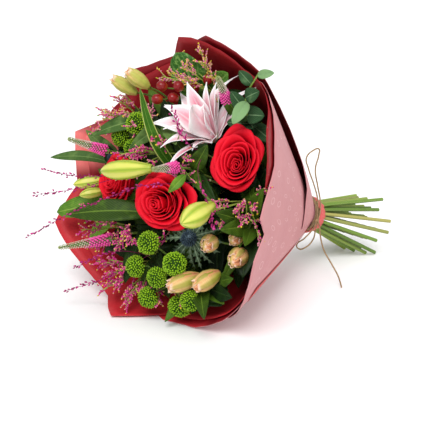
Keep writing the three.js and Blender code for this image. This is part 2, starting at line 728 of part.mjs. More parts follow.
// Colours of the pieces
const LOOKS = {
  paper_pink: { color: 0xc98288, roughness: 0.5, metalness: 0 },
  paper_red: { color: 0x9c1a22, roughness: 0.6, metalness: 0 },
  twine: { color: 0xc79a63, roughness: 0.9, metalness: 0 },
  rose_red: { color: 0xd01020, roughness: 0.55, metalness: 0 },
  lily_pink: { color: 0xf2b4c6, roughness: 0.5, metalness: 0 },
  bud_green: { color: 0xc9d14c, roughness: 0.45, metalness: 0 },
  lime: { color: 0x7fb81c, roughness: 0.7, metalness: 0 },
  thistle: { color: 0x56707c, roughness: 0.65, metalness: 0 },
  peach: { color: 0xe8b98a, roughness: 0.5, metalness: 0 },
  veronica: { color: 0xd0409a, roughness: 0.7, metalness: 0 },
  berry_red: { color: 0xa01c22, roughness: 0.25, metalness: 0 },
  leaf_green: { color: 0x2f6b2c, roughness: 0.5, metalness: 0 },
  leaf_grey: { color: 0x6f9a74, roughness: 0.6, metalness: 0 },
  stem_green: { color: 0x6f9a45, roughness: 0.5, metalness: 0 },
  filler_pink: { color: 0xc05a86, roughness: 0.8, metalness: 0 },
  grass_magenta: { color: 0xb0246e, roughness: 0.8, metalness: 0 },
};

// Each piece: its look, the stem that runs through the neck, if it has one, and the rest of its shape
const pieces = [];
const add = (name, look, parts, stem = []) => pieces.push({ name, look, parts, stem });

add("wrap_outer_sheet", "paper_pink", [outerSheet()]);
add("wrap_front_sheet", "paper_pink", [frontSheet()]);
add("wrap_lining_sheet", "paper_red", [liningSheet()]);
add("wrap_cuff", "paper_red", [cuff()]);
add("twine_binding", "twine", [bindingTurns()]);
const knot = closed(new THREE.IcosahedronGeometry(3.2, 1)).scale(0.75, 1.3, 1.1);
add("twine_knot", "twine", [aimed(knot, KNOT, at(0, 0, 1))]);
const twineTube = (route) => tube(new THREE.CatmullRomCurve3(route).getSpacedPoints(26), TWINE / 2, 8);
add("twine_loop_upper", "twine", [twineTube(UPPER_LOOP)]);
add("twine_loop_lower", "twine", [twineTube(LOWER_LOOP)]);
add("twine_tail", "twine", [twineTube(TAIL)]);

const ROSES = {
  rose_right: {
    axis: at(0.5, 0.05, 0.86),
    radius: 37,
    height: 50,
    leaves: [[34, at(128, 6, 252), 26], [60, at(120, 74, 236), 24]],
  },
  rose_centre: {
    axis: at(0.05, -0.18, 0.98),
    radius: 34,
    height: 56,
    leaves: [[44, at(66, -2, 262), 24], [70, at(-2, -62, 248), 26]],
  },
  rose_left: {
    axis: at(-0.15, -0.1, 0.98),
    radius: 28,
    height: 46,
    leaves: [[40, at(-108, -30, 248), 24], [52, at(-34, 12, 246), 24]],
  },
};
for (const [name, { axis, radius, height }] of Object.entries(ROSES)) {
  const seed = stemNames.indexOf(name) + 1;
  add(name + "_bloom", "rose_red", rosePetals({ seat: STEMS[name].hub, axis, radius, height, seed }));
}

const BERRIES = [
  at(-29, 117, 290), at(-8, 121, 282), at(-1, 124, 262), at(12, 138, 255), at(-34, 100, 288), at(-18, 106, 277),
];
add(
  "hypericum_spray",
  "berry_red",
  BERRIES.map((centre) => berry(centre, 5.6, centre.clone().sub(STEMS.hypericum.hub))),
  [mainStem("hypericum"), ...BERRIES.map((centre) => shoot(STEMS.hypericum.hub, centre, 1, 3))],
);

const LILY = { seat: at(34, 66, 239), axis: at(-0.02, 0.45, 0.89) };
add("lily_bloom", "lily_pink", lilyBloom(LILY));
const BUDS = {
  lily_bud_upper: { foot: at(20, 16, 319), tip: at(-54, -3, 334), radius: 12.5 },
  lily_bud_right: { foot: at(112, -8, 298), tip: at(118, -36, 348), radius: 13.5 },
  lily_bud_left: { foot: at(-111, -14, 269), tip: at(-139, -31, 301), radius: 8.5 },
  lily_bud_small: { foot: at(-106, -28, 271), tip: at(-122, -42, 301), radius: 7 },
};
for (const [name, { foot, tip, radius }] of Object.entries(BUDS)) {
  add(name, "bud_green", lilyBud(foot, tip, radius));
}

const SPIKES = {
  veronica_upper: [at(-86, 22, 300), at(-126, 26, 338)],
  veronica_lower: [at(-52, -84, 292), at(-108, -112, 328)],
  veronica_centre: [at(51, 25, 306), at(44, 15, 341)],
  veronica_right: [at(77, 112, 277), at(80, 138, 308)],
};
for (const [name, [foot, tip]] of Object.entries(SPIKES)) {
  const twig = shoot(STEMS[name].hub, foot.clone().lerp(tip, 0.1), 1.3, 4);
  add(name, "veronica", [veronicaSpike(foot, tip, 6.5)], [mainStem(name), twig]);
}

const ERYNGIUMS = {
  eryngium_front: { axis: at(0.2, -0.25, 0.93), neck: 11, size: 26, bracts: 6 },
  eryngium_left: { axis: at(-0.66, 0.22, 0.72), neck: 22, size: 15, bracts: 6 },
};
for (const [name, { axis, neck, size, bracts }] of Object.entries(ERYNGIUMS)) {
  const { hub } = STEMS[name];
  const seat = hub.clone().addScaledVector(axis, neck);
  const stalk = tube([hub, hub.clone().addScaledVector(axis, neck + 4)], 1.6, 4);
  add(name, "thistle", eryngiumHead({ seat, axis, size, bracts, seed: 9 }), [mainStem(name), stalk]);
}

const BUTTONS = {
  chrysanthemum_front: [
    at(17, -74, 294), at(-7, -108, 283), at(30, -113, 279), at(58, -90, 283), at(11, -142, 267),
    at(78, -129, 262), at(54, -141, 253),
  ],
  chrysanthemum_back: [at(-57, 65, 291), at(-93, 45, 280), at(-66, 33, 279)],
};
for (const [name, heads] of Object.entries(BUTTONS)) {
  const spray = chrysanthemumSpray(name, heads, 14.5);
  add(name, "lime", spray.map((part) => part.head), [mainStem(name), ...spray.map((part) => part.twig)]);
}

const FLOWERETS = {
  alstroemeria_right: [
    [at(92, -50, 262), at(108, -58, 290), 9.5],
    [at(120, -56, 236), at(136, -68, 268), 10.5],
    [at(112, -36, 236), at(124, -44, 264), 9],
  ],
  alstroemeria_front: [
    [at(82, -96, 258), at(58, -120, 286), 10.5],
    [at(103, -86, 250), at(92, -111, 276), 10.5],
  ],
  alstroemeria_top: [
    [at(-72, 102, 288), at(-100, 114, 312), 8],
    [at(-50, 112, 290), at(-70, 126, 317), 8.5],
  ],
};
for (const [name, buds] of Object.entries(FLOWERETS)) {
  const hub = STEMS[name].hub;
  const twigs = buds.map(([foot, tip]) => shoot(hub, foot.clone().lerp(tip, 0.1), 1.3, 4));
  const flowers = buds.map(([foot, tip, radius]) => alstroemeriaBud(foot, tip, radius));
  add(name, "peach", flowers, [mainStem(name), ...twigs]);
}

// Green stems of the roses and lilies, with their leaves
for (const [name, { axis, leaves }] of Object.entries(ROSES)) {
  add(name + "_stem", "leaf_green", roseGreens(name, axis, leaves), [mainStem(name)]);
}
add(
  "lily_stem_tall",
  "stem_green",
  [
    leaf({ foot: at(2, 20, 258), tip: at(-34, 74, 300), width: 22, facing: at(0.5, 0, 0.8) }),
    leaf({ foot: at(1.8, 19.4, 240), tip: at(-30, -40, 262), width: 20, facing: at(0.3, 0.2, 1) }),
  ],
  [
    mainStem("lily_tall"),
    shoot(STEMS.lily_tall.hub, BUDS.lily_bud_upper.foot, 2, 5, -0.1),
    shoot(STEMS.lily_tall.hub, BUDS.lily_bud_right.foot, 2, 5, 0.03),
  ],
);
add(
  "lily_stem_right",
  "stem_green",
  [
    leaf({ foot: at(26, 60, 190), tip: at(34, 40, 258), width: 20, facing: at(0.6, 0.2, 0.8) }),
    leaf({ foot: at(28, 64, 205), tip: at(50, 106, 248), width: 18, facing: at(-0.3, 0, 1) }),
  ],
  [mainStem("lily_right"), tube([STEMS.lily_right.hub, at(33.8, 64.6, 236.6)], 2.5, 5)],
);
add(
  "lily_stem_left",
  "stem_green",
  [leaf({ foot: at(-103, -16.7, 245), tip: at(-136, -4, 268), width: 16, facing: at(0.2, 0.2, 1) })],
  [
    mainStem("lily_left"),
    shoot(STEMS.lily_left.hub, BUDS.lily_bud_left.foot, 1.4, 4, 0),
    shoot(STEMS.lily_left.hub, BUDS.lily_bud_small.foot, 1.3, 4, 0),
  ],
);

// Leaves of the eucalyptus are [foot, tip, width]
const EUCALYPTUS = [
  [at(94, 95, 246), at(114, 89, 264), 20],
  [at(94, 95, 248), at(77, 90, 272), 18],
  [at(98, 104, 262), at(132, 106, 270), 22],
  [at(98, 106, 264), at(87, 126, 288), 17],
  [at(108, 118, 279), at(116, 88, 302), 17],
  [at(105, 122, 280), at(128, 132, 284), 18],
  [at(112, 138, 282), at(104, 150, 300), 14],
  [at(119, 150, 284), at(141, 156, 281), 11],
  [at(93, 93, 240), at(132, 80, 246), 20],
];
const eucalyptusLook = { facing: at(0.6, 0, 0.8), arch: 0.08, along: 3, blunt: 0.6 };
const eucalyptusTwig = [STEMS.eucalyptus.hub, at(98, 104, 262), at(106, 124, 280), at(120, 152, 284)];
add(
  "eucalyptus_sprig",
  "leaf_grey",
  EUCALYPTUS.map(([foot, tip, width]) => leaf({ foot, tip, width, ...eucalyptusLook })),
  [mainStem("eucalyptus"), tube(eucalyptusTwig, 1.3, 4)],
);

// Foliage stems: each carries one or more large leaves from its hub
const FOLIAGE = {
  blade_upright: [
    { tip: at(-14, 106, 338), width: 14, facing: at(0.9, 0, 0.4), arch: -0.06, along: 6, blunt: 0.6 },
  ],
  blade_upper: [
    { tip: at(-124, 36, 304), width: 24, facing: at(0.4, 0.4, 0.8), arch: 0.14, along: 5 },
    { tip: at(-30, 32, 318), width: 20, facing: at(0.6, 0, 0.8), arch: 0.05 },
  ],
  blade_left: [
    { tip: at(-184, -4, 312), width: 17, facing: at(0.5, 0.6, 0.6), arch: 0.12, along: 5, belly: 0.6 },
    { tip: at(-160, 42, 284), width: 20, facing: at(0.4, 0.3, 0.8), arch: 0.06 },
  ],
  leaf_left: [
    { tip: at(-160, -72, 300), width: 30, facing: at(0.5, 0.4, 0.8), arch: 0.06, belly: 0.62, blunt: 0.5 },
    { tip: at(-128, -100, 262), width: 26, facing: at(0.3, 0.2, 0.9), arch: 0.08 },
  ],
  leaf_broad_left: [
    { tip: at(-108, -68, 326), width: 30, facing: at(0.5, 0.35, 0.8), arch: 0.1, along: 6, belly: 0.5 },
  ],
  leaf_round_top: [
    { tip: at(-34, 162, 276), width: 46, facing: at(0.5, -0.1, 0.85), arch: 0.06, blunt: 0.5, wave: 0.12 },
    { tip: at(44, 150, 256), width: 34, facing: at(0.4, -0.2, 0.9), arch: 0.05, blunt: 0.6 },
  ],
  leaf_right: [
    { tip: at(120, -16, 300), width: 26, facing: at(0.8, 0.1, 0.5), arch: 0.1 },
    { tip: at(146, -44, 270), width: 22, facing: at(0.7, 0, 0.7), arch: 0.08 },
    { tip: at(105, -101, 247), width: 15, facing: at(0.8, 0.1, 0.5), arch: 0.05 },
    { tip: at(150, 24, 262), width: 24, facing: at(0.2, 0, 1), arch: 0.05 },
  ],
  leaf_front: [
    { tip: at(120, -142, 276), width: 24, facing: at(0.5, 0.3, 0.8), arch: 0.12, along: 5 },
    { tip: at(46, -164, 264), width: 20, facing: at(0.4, 0.5, 0.7), arch: 0.1 },
  ],
};
for (const [name, leaves] of Object.entries(FOLIAGE)) {
  const hub = STEMS[name].hub;
  const back = stemAxis(name).multiplyScalar(-2);
  const blades = leaves.map((shape) => leaf({ foot: hub.clone().add(back), ...shape }));
  add(name, "leaf_green", blades, [mainStem(name)]);
}

const FILLERS = {
  filler_top: [at(4, 164, 268), at(-10, 140, 284), at(20, 146, 278)],
  filler_upper_left: [at(-104, 92, 296), at(-98, 68, 306), at(-120, 70, 290)],
  filler_centre: [at(-20, 34, 318), at(-4, 48, 312), at(-36, 22, 304)],
  filler_right: [at(138, 0, 282), at(146, -22, 278), at(153, 24, 260)],
  filler_left: [at(-104, -84, 300), at(-84, -64, 306), at(-70, -96, 296)],
  filler_front: [at(-50, -150, 290), at(-76, -118, 288), at(-22, -160, 272)],
};
for (const [name, tips] of Object.entries(FILLERS)) {
  add(name, "filler_pink", fillerSpray(name, tips, stemNames.indexOf(name) + 20), [mainStem(name)]);
}

const PLUMES = {
  grass_long: [
    {
      through: [at(62, 5, 316), at(40, -3, 336), at(0, -26, 352), at(-52, -66, 376), at(-90, -104, 396)],
      seeds: 14,
      from: 0.34,
    },
  ],
  grass_left: [
    { through: [at(-90, -12, 334), at(-140, -52, 360)], seeds: 6, from: 0.4 },
    { through: [at(-96, 4, 328), at(-148, -22, 366)], seeds: 6, from: 0.4 },
  ],
  grass_low: [
    { through: [at(-46, -130, 286), at(-104, -166, 304)], seeds: 7, from: 0.45 },
    { through: [at(-30, -96, 300), at(-76, -130, 322)], seeds: 5, from: 0.5 },
  ],
  grass_lily: [
    { through: [at(60, 60, 330), at(42, 92, 338)], seeds: 6, from: 0.45 },
    { through: [at(104, 20, 320), at(126, -30, 312)], seeds: 5, from: 0.5 },
  ],
};
for (const [name, plumes] of Object.entries(PLUMES)) {
  const hub = STEMS[name].hub;
  const parts = plumes.map(({ through, seeds, from }, k) => grassPlume([hub, ...through], seeds, from, 60 + k));
  add(name, "grass_magenta", parts, [mainStem(name)]);
}

// Every piece is fused, then cut clear of the stems of the others and of the pieces before it
const stemsOf = pieces.map(({ stem }) => (stem.length ? swollen(stem) : null));
const bouquet = new THREE.Group();
const before = [];

function overlaps(one, other) {
  const [a, b] = [one.boundingBox(), other.boundingBox()];
  return [0, 1, 2].every((axis) => a.min[axis] <= b.max[axis] && b.min[axis] <= a.max[axis]);
}

pieces.forEach(({ name, look, parts, stem }, order) => {
  let body = fused(parts);
  const cutters = [...before, ...stemsOf.filter((other, k) => other && k !== order)];
  for (const cutter of cutters) if (overlaps(body, cutter)) body = body.subtract(cutter);
  if (stem.length) {
    let trunk = fused(stem);
    for (const cutter of before) if (overlaps(trunk, cutter)) trunk = trunk.subtract(cutter);
    body = body.add(trunk);
  }
  const kept = largestBody(body.simplify(TOLERANCE));
  const mesh = new THREE.Mesh(meshGeometry(kept), new THREE.MeshStandardMaterial(LOOKS[look]));
  mesh.name = name;
  bouquet.add(mesh);
  before.push(swollen([...parts, ...stem]));
});

// The tie stands above the surface, and the middle of the bunch over the origin
const frame = new THREE.Matrix4().makeBasis(
  at(0, -1, 0),
  at(Math.sin(TILT), 0, Math.cos(TILT)),
  at(-Math.cos(TILT), 0, Math.sin(TILT)),
);
bouquet.quaternion.setFromRotationMatrix(frame);
bouquet.position.z = TIE_HEIGHT;
bouquet.updateMatrixWorld(true);
const FREE_TWINE = ["twine_loop_upper", "twine_loop_lower", "twine_tail"];
const extent = new THREE.Box3();
for (const mesh of bouquet.children) if (!FREE_TWINE.includes(mesh.name)) extent.expandByObject(mesh, true);
const middle = extent.getCenter(new THREE.Vector3());
bouquet.position.x = -middle.x;
bouquet.position.y = -middle.y;

const part = new THREE.Group();
part.add(bouquet);
export default part;
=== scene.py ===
# A hand-tied mixed bouquet in two-tone florist paper, bound with natural twine, lying on a pale floor.
# Each section makes one kind of piece, in the order in which the bunch is put together.
import math
import random

import bpy
from mathutils import Matrix, Quaternion, Vector


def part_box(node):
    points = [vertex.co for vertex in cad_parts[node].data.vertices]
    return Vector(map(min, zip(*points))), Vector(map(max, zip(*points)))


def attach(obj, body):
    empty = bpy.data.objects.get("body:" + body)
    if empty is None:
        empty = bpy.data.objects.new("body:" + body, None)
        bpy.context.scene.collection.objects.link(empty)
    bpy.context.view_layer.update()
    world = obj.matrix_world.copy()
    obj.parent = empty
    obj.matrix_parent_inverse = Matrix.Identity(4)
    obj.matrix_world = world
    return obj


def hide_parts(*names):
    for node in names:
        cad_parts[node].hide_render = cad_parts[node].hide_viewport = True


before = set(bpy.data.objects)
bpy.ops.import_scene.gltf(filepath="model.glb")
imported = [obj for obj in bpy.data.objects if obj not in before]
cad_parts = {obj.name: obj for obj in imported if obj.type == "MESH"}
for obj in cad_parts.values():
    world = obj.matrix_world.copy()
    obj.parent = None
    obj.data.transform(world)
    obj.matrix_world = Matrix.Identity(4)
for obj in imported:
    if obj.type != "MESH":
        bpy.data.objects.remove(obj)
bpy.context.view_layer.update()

# The bunch has its own axes: u to the right, v up and w from the tie towards the blooms, in millimetres.
# It lies tilted on the rim of its paper and its lowest cut stems. The binding shows where its tie is.
TILT = math.radians(19)
U_WAY = Vector((0, -1, 0))
V_WAY = Vector((math.sin(TILT), 0, math.cos(TILT)))
W_WAY = Vector((-math.cos(TILT), 0, math.sin(TILT)))
BINDING_MIDDLE = 3.2
MILLIMETRE = 0.001
binding_low, binding_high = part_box("twine_binding")
TIE = (binding_low + binding_high) / 2 - W_WAY * BINDING_MIDDLE * MILLIMETRE
AXES = Matrix((U_WAY, V_WAY, W_WAY)).transposed().to_4x4()
BUNCH = Matrix.Translation(TIE) @ AXES @ Matrix.Scale(MILLIMETRE, 4)
UP = BUNCH.inverted().to_3x3() @ Vector((0, 0, MILLIMETRE))


def at(u, v, w):
    return Vector((u, v, w))


def height_of(point):
    return (BUNCH @ point).z / MILLIMETRE


# Camera: it looks down on the blooms from their side, as the photograph does. The blooms' middle is 255 mm
# from the tie, where one pixel of the 430 pixel picture spans 1.25 mm, and the tie is at its own pixel.
AZIMUTH = math.radians(-44.3)
ELEVATION = math.radians(16)
HALF_VIEW = math.radians(10)
HALF_PICTURE = 215
TIE_PIXEL_X = 303
TIE_PIXEL_Y = 213
BLOOMS = 255
PIXEL = 1.25
back = Vector((
    math.sin(AZIMUTH) * math.cos(ELEVATION),
    -math.cos(AZIMUTH) * math.cos(ELEVATION),
    math.sin(ELEVATION),
))
right = Vector((math.cos(AZIMUTH), math.sin(AZIMUTH), 0))
above = back.cross(right)
focal = HALF_PICTURE / math.tan(HALF_VIEW)
tie_depth = focal * PIXEL + BLOOMS * W_WAY.dot(back)
aside = (HALF_PICTURE - TIE_PIXEL_X) * tie_depth / focal
lift = (TIE_PIXEL_Y - HALF_PICTURE) * tie_depth / focal
camera_data = bpy.data.cameras.new("camera")
camera_data.angle = 2 * HALF_VIEW
camera = bpy.data.objects.new("camera", camera_data)
bpy.context.collection.objects.link(camera)
camera.matrix_world = Matrix((right, above, back)).transposed().to_4x4()
camera.location = TIE + (back * tie_depth + right * aside + above * lift) * MILLIMETRE
bpy.context.scene.camera = camera

# Studio: a matt white floor, one broad soft sun from the upper left, a weak one from the right, and bright
# air all round. Only the floor is a mesh, and it is no piece of the bouquet.
FLOOR_WIDTH = 40
bpy.ops.object.select_all(action="DESELECT")
bpy.ops.mesh.primitive_plane_add(size=FLOOR_WIDTH, location=(0, 0, 0))
floor = bpy.context.object
floor.name = "floor"
floor_finish = bpy.data.materials.new("white_floor")
floor_finish.use_nodes = True
floor_shader = floor_finish.node_tree.nodes["Principled BSDF"]
floor_shader.inputs["Base Color"].default_value = (0.93, 0.93, 0.93, 1)
floor_shader.inputs["Roughness"].default_value = 0.9
floor_shader.inputs["Specular IOR Level"].default_value = 0.1
floor.data.materials.append(floor_finish)


def sun(name, way, strength, spread):
    light_data = bpy.data.lights.new(name, "SUN")
    light_data.energy = strength
    light_data.angle = math.radians(spread)
    light = bpy.data.objects.new(name, light_data)
    bpy.context.collection.objects.link(light)
    light.rotation_euler = Vector(way).to_track_quat("Z", "Y").to_euler()


sun("key_sun", (-1.3, -0.9, 1.7), 2.3, 32)
sun("fill_sun", (0.2, -1.5, 0.8), 0.5, 60)
world = bpy.data.worlds.new("bright_air")
bpy.context.scene.world = world
world.use_nodes = True
air = world.node_tree.nodes["Background"]
air.inputs["Color"].default_value = (1, 1, 1, 1)
air.inputs["Strength"].default_value = 0.72
bpy.context.scene.view_settings.view_transform = "Standard"


# Twine: natural two-ply jute, 2 mm thick. Three turns bind the neck and are knotted at the front, two slack
# loops hang from the knot, and one cut end runs down to the floor.
TWINE = 2
TWISTS = 60
PLIES = 2
LOOP_UPPER = [
    at(30.6, -3, 4.4), at(29.6, 8, 6), at(26, 24, 8), at(17, 42, 12), at(4, 62, 16), at(-2.5, 76, 18),
    at(1, 88, 12), at(4, 92, 4), at(3, 84, 0), at(3, 64, 0), at(14, 42, 0), at(25, 22, 0), at(30, 7, 1),
    at(30.6, -3, 2),
]
LOOP_LOWER = [
    at(30.6, -8, 4.6), at(31, -18, 9), at(27, -33, 17), at(21.5, -44.5, 23), at(24, -48.5, 20),
    at(28, -44, 10), at(31, -32, 3), at(30, -20, 1), at(30.6, -8, 2),
]
TAIL = [
    at(32, -6, 3.2), at(37, -11, 4), at(45, -22, 8), at(60, -41, 11), at(77, -58, 7), at(90, -71, 4.5),
    at(100, -83.6, 5),
]
SOFT_SHINE = 0.22


class Wire:
    """An output of a material's node. A sum written with it adds the Math node that works it out."""

    def __init__(self, paint, socket):
        self.paint = paint
        self.socket = socket

    def sum(self, operation, first, second=0):
        return self.paint.node("ShaderNodeMath", {"operation": operation}, {0: first, 1: second})

    def sine(self):
        return self.sum("SINE", self)

    def cosine(self):
        return self.sum("COSINE", self)

    def absolute(self):
        return self.sum("ABSOLUTE", self)

    def __add__(self, other):
        return self.sum("ADD", self, other)

    def __radd__(self, other):
        return self.sum("ADD", other, self)

    def __sub__(self, other):
        return self.sum("SUBTRACT", self, other)

    def __rsub__(self, other):
        return self.sum("SUBTRACT", other, self)

    def __mul__(self, other):
        return self.sum("MULTIPLY", self, other)

    def __rmul__(self, other):
        return self.sum("MULTIPLY", other, self)


class Paint:
    """A material, put together from nodes round its one shader"""

    def __init__(self, name):
        self.material = bpy.data.materials.new(name)
        self.material.use_nodes = True
        self.tree = self.material.node_tree
        self.shader = self.tree.nodes["Principled BSDF"]

    def connect(self, value, socket):
        if isinstance(value, Wire):
            self.tree.links.new(value.socket, socket)
        else:
            socket.default_value = value

    def node(self, kind, settings=None, inputs=None, output=0):
        made = self.tree.nodes.new(kind)
        for name, value in (settings or {}).items():
            if name == "stops":
                elements = made.color_ramp.elements
                while len(elements) < len(value):
                    elements.new(0.5)
                for element, (place, colour) in zip(elements, value):
                    element.position = place
                    element.color = (*colour, 1)
            else:
                setattr(made, name, value)
        for key, value in (inputs or {}).items():
            self.connect(value, made.inputs[key])
        return Wire(self, made.outputs[output])

    def surface_place(self, way):
        coordinates = self.node("ShaderNodeTexCoord", output="UV")
        return self.node("ShaderNodeSeparateXYZ", {}, {0: coordinates}, output=way)

    def along(self):
        """From 0 at the foot of a petal, leaf or stem to 1 at its tip"""
        return self.surface_place(1)

    def across(self):
        """From 0 at one edge to 1 at the other"""
        return self.surface_place(0)

    def aside(self):
        """From 0 at the midrib to 0.5 at either edge"""
        return (self.across() - 0.5).absolute()

    def shade(self):
        """The tint that each copy was given, from 0 to 1"""
        return self.node("ShaderNodeAttribute", {"attribute_name": "shade"}, output="Fac")

    def speckle(self, scale, detail=3, roughness=0.5):
        """Fine uneven blotches, for colour that varies and for a surface that isn't quite flat"""
        place = self.node("ShaderNodeTexCoord", output="Object")
        inputs = {"Vector": place, "Scale": scale, "Detail": detail, "Roughness": roughness}
        return self.node("ShaderNodeTexNoise", {}, inputs)

    def step(self, value, low, high):
        """A smooth step from 0 at low to 1 at high"""
        inputs = {"Value": value, "From Min": low, "From Max": high}
        return self.node("ShaderNodeMapRange", {"interpolation_type": "SMOOTHSTEP"}, inputs)

    def ramp(self, value, stops):
        return self.node("ShaderNodeValToRGB", {"stops": stops}, {0: value})

    def mix(self, share, first, second):
        """The first colour, with a share of the second over it"""
        sockets = {0: share, 6: self.full(first), 7: self.full(second)}
        return self.node("ShaderNodeMix", {"data_type": "RGBA"}, sockets, output=2)

    def full(self, colour):
        return colour if isinstance(colour, Wire) else (*colour, 1)

    def finish(self, colour, roughness, height=None, depth=0.3, **settings):
        """Height is a bump, its depth in millimetres. Settings are more of the shader's own sockets."""
        self.connect(self.full(colour), self.shader.inputs["Base Color"])
        self.connect(roughness, self.shader.inputs["Roughness"])
        self.shader.inputs["Specular IOR Level"].default_value = SOFT_SHINE
        if height is not None:
            bump = self.node("ShaderNodeBump", {}, {"Height": height, "Distance": depth * MILLIMETRE})
            self.connect(bump, self.shader.inputs["Normal"])
        for name, value in settings.items():
            self.shader.inputs[name.replace("_", " ")].default_value = value
        return self.material


def jute():
    paint = Paint("jute_twine")
    turns = (paint.across() + paint.along() * TWISTS) * PLIES
    ply = (turns * (2 * math.pi)).sine() * 0.5 + 0.5
    fibre = paint.speckle(900, 4)
    straw = paint.mix(fibre, (0.38, 0.22, 0.09), (0.72, 0.50, 0.27))
    return paint.finish(paint.mix(ply * 0.4, straw, (0.74, 0.55, 0.33)), 0.9, ply + fibre * 0.5, 0.5)


JUTE = jute()


def line(points, radii, sides=4, steps=8):
    """A round stalk through points, as a curve with a radius at each point"""
    curve = bpy.data.curves.new("stalk", "CURVE")
    curve.dimensions = "3D"
    curve.bevel_depth = 1
    curve.bevel_resolution = sides
    curve.resolution_u = steps
    curve.use_fill_caps = True
    add_spline(curve, points, radii)
    stalk = bpy.data.objects.new("stalk", curve)
    bpy.context.collection.objects.link(stalk)
    return stalk


def add_spline(curve, points, radii):
    """One more smooth line, through points, in the same curve"""
    spline = curve.splines.new("BEZIER")
    spline.bezier_points.add(len(points) - 1)
    for knot, point, radius in zip(spline.bezier_points, points, radii):
        knot.co = point
        knot.radius = radius
        knot.handle_left_type = "AUTO"
        knot.handle_right_type = "AUTO"


def twine_cord(node, points, length):
    """A loose length of twine, which stands for the solid of the same route"""
    curve = line([BUNCH @ point for point in points], [1] * len(points), sides=3, steps=10)
    curve.name = node + "_jute"
    curve.data.bevel_depth = TWINE / 2 * MILLIMETRE
    curve.data.materials.append(JUTE)
    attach(curve, "root")
    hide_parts(node)


def length_of(points):
    """The length in metres of the smooth line that passes through points"""
    total = 0
    for k in range(len(points) - 1):
        before, start = points[max(k - 1, 0)], points[k]
        end, after = points[k + 1], points[min(k + 2, len(points) - 1)]
        reach = (end - start).length / 3
        first = start + (end - before).normalized() * reach
        second = end - (after - start).normalized() * reach
        total += bezier_length(start, first, second, end)
    return total * MILLIMETRE


def bezier_length(a, b, c, d):
    pieces = 12
    places = [
        a * (1 - t) ** 3 + b * 3 * t * (1 - t) ** 2 + c * 3 * t * t * (1 - t) + d * t ** 3
        for t in (k / pieces for k in range(pieces + 1))
    ]
    return sum((places[k + 1] - places[k]).length for k in range(pieces))


twine_cord("twine_loop_upper", LOOP_UPPER, length_of(LOOP_UPPER))
twine_cord("twine_loop_lower", LOOP_LOWER, length_of(LOOP_LOWER))
twine_cord("twine_tail", TAIL, length_of(TAIL))


def bare():
    """Nothing stays selected, so that an operator acts on the new piece alone"""
    bpy.ops.object.select_all(action="DESELECT")


def joined(name, parts):
    """Several modelled parts made one piece"""
    bare()
    for part in parts:
        part.select_set(True)
    bpy.context.view_layer.objects.active = parts[0]
    if len(parts) > 1:
        bpy.ops.object.join()
    piece = bpy.context.view_layer.objects.active
    piece.name = name
    return piece


def paint_all(part, material):
    """One finish all over a part"""
    part.data.materials.clear()
    part.data.materials.append(material)
    return part


def modified(piece, kind, **settings):
    """A modifier with its settings, applied"""
    bare()
    piece.select_set(True)
    bpy.context.view_layer.objects.active = piece
    modifier = piece.modifiers.new(kind.lower(), kind)
    for name, value in settings.items():
        setattr(modifier, name, value)
    bpy.ops.object.modifier_apply(modifier=modifier.name)
    return piece


def added(primitive, material, **settings):
    """A primitive at its size and place, in one finish"""
    bare()
    primitive(**settings)
    bpy.ops.object.transform_apply(location=True, rotation=True, scale=True)
    return paint_all(bpy.context.object, material)


def placed(name, parts, slot, *nodes):
    """One piece of several parts goes from the bunch's axes to its place, and stands for its solids"""
    piece = joined(name, parts)
    piece.data.transform(BUNCH)
    piece.data.shade_smooth()
    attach(piece, "root")
    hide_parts(*nodes)


BINDING_RADIUS = 26.9
BINDING_FOOT = 0.2
BINDING_LEAN = 0.015
TURN_LEAN = 0.02
KNOT_RADIUS = 2.2
KNOT_CORE = (29.9, -5.4, 3.2)
KNOT_WRAP = (30.2, -5.4, 3.2)
KNOT_WRAP_RADIUS = 2.1
KNOT_WRAP_THICKNESS = 2.3
KNOT_WRAP_TURN = (0.5, 1.35, 0.2)
turns = []
for turn in range(3):
    turns.append(added(
        bpy.ops.mesh.primitive_torus_add, JUTE,
        major_radius=BINDING_RADIUS, minor_radius=TWINE / 2, major_segments=72, minor_segments=8,
        location=(0, 0, BINDING_FOOT + TWINE * (turn + 0.5)),
        rotation=(TURN_LEAN * (turn - 1), BINDING_LEAN, 0),
    ))
placed("binding_jute", turns, "twine", "twine_binding")

knot_wrap = added(
    bpy.ops.mesh.primitive_torus_add, JUTE,
    major_radius=KNOT_WRAP_RADIUS, minor_radius=KNOT_WRAP_THICKNESS / 2,
    major_segments=24, minor_segments=8, location=KNOT_WRAP, rotation=KNOT_WRAP_TURN,
)
knot_core = added(
    bpy.ops.mesh.primitive_ico_sphere_add, JUTE, subdivisions=3, radius=KNOT_RADIUS, location=KNOT_CORE,
)
placed("knot_jute", [knot_wrap, knot_core], "twine", "twine_knot")


# Paper: three sheets of coated florist paper, dusty pink outside and crimson inside, drawn to a cone by
# the twine. Where the cone is pleated the sheets bend together, and each free edge is cut in long corners.
KNEE = 6
PAPER_FOOT = -3
FLOOR_GAP = 0.8
SHEET = 0.5
SHEET_ROWS = 24
SHEET_STEP = 3
NECK_RADIUS = 21.6
FLARE = 0.61
LAYER_GAP = 1.3
LAYER_SPREAD = 0.009
RIM_DISTANCE = 240
PLEATS = 7
PLEAT_DEPTH = 2.2
CREASE_DEPTH = 0.5
# Each of these swells has its depth in millimetres, then its bearing and its width in degrees
SAG = (16, -42, 28)
PINCH = (20, 5, 30)
REST = (5, 280, 16)


def bell(x, centre, width):
    """From 0 far away to 1 at the centre"""
    return math.exp(-(((x - centre) / width) ** 2))


def smooth(low, high, x):
    """A smooth step from 0 at low to 1 at high"""
    share = min(max((x - low) / (high - low), 0), 1)
    return share * share * (3 - 2 * share)


def swell(angle, depth, bearing, width):
    """A swell of the cone, at its bearing and a full turn on"""
    return depth * (bell(angle, bearing, width) + bell(angle, bearing + 360, width))


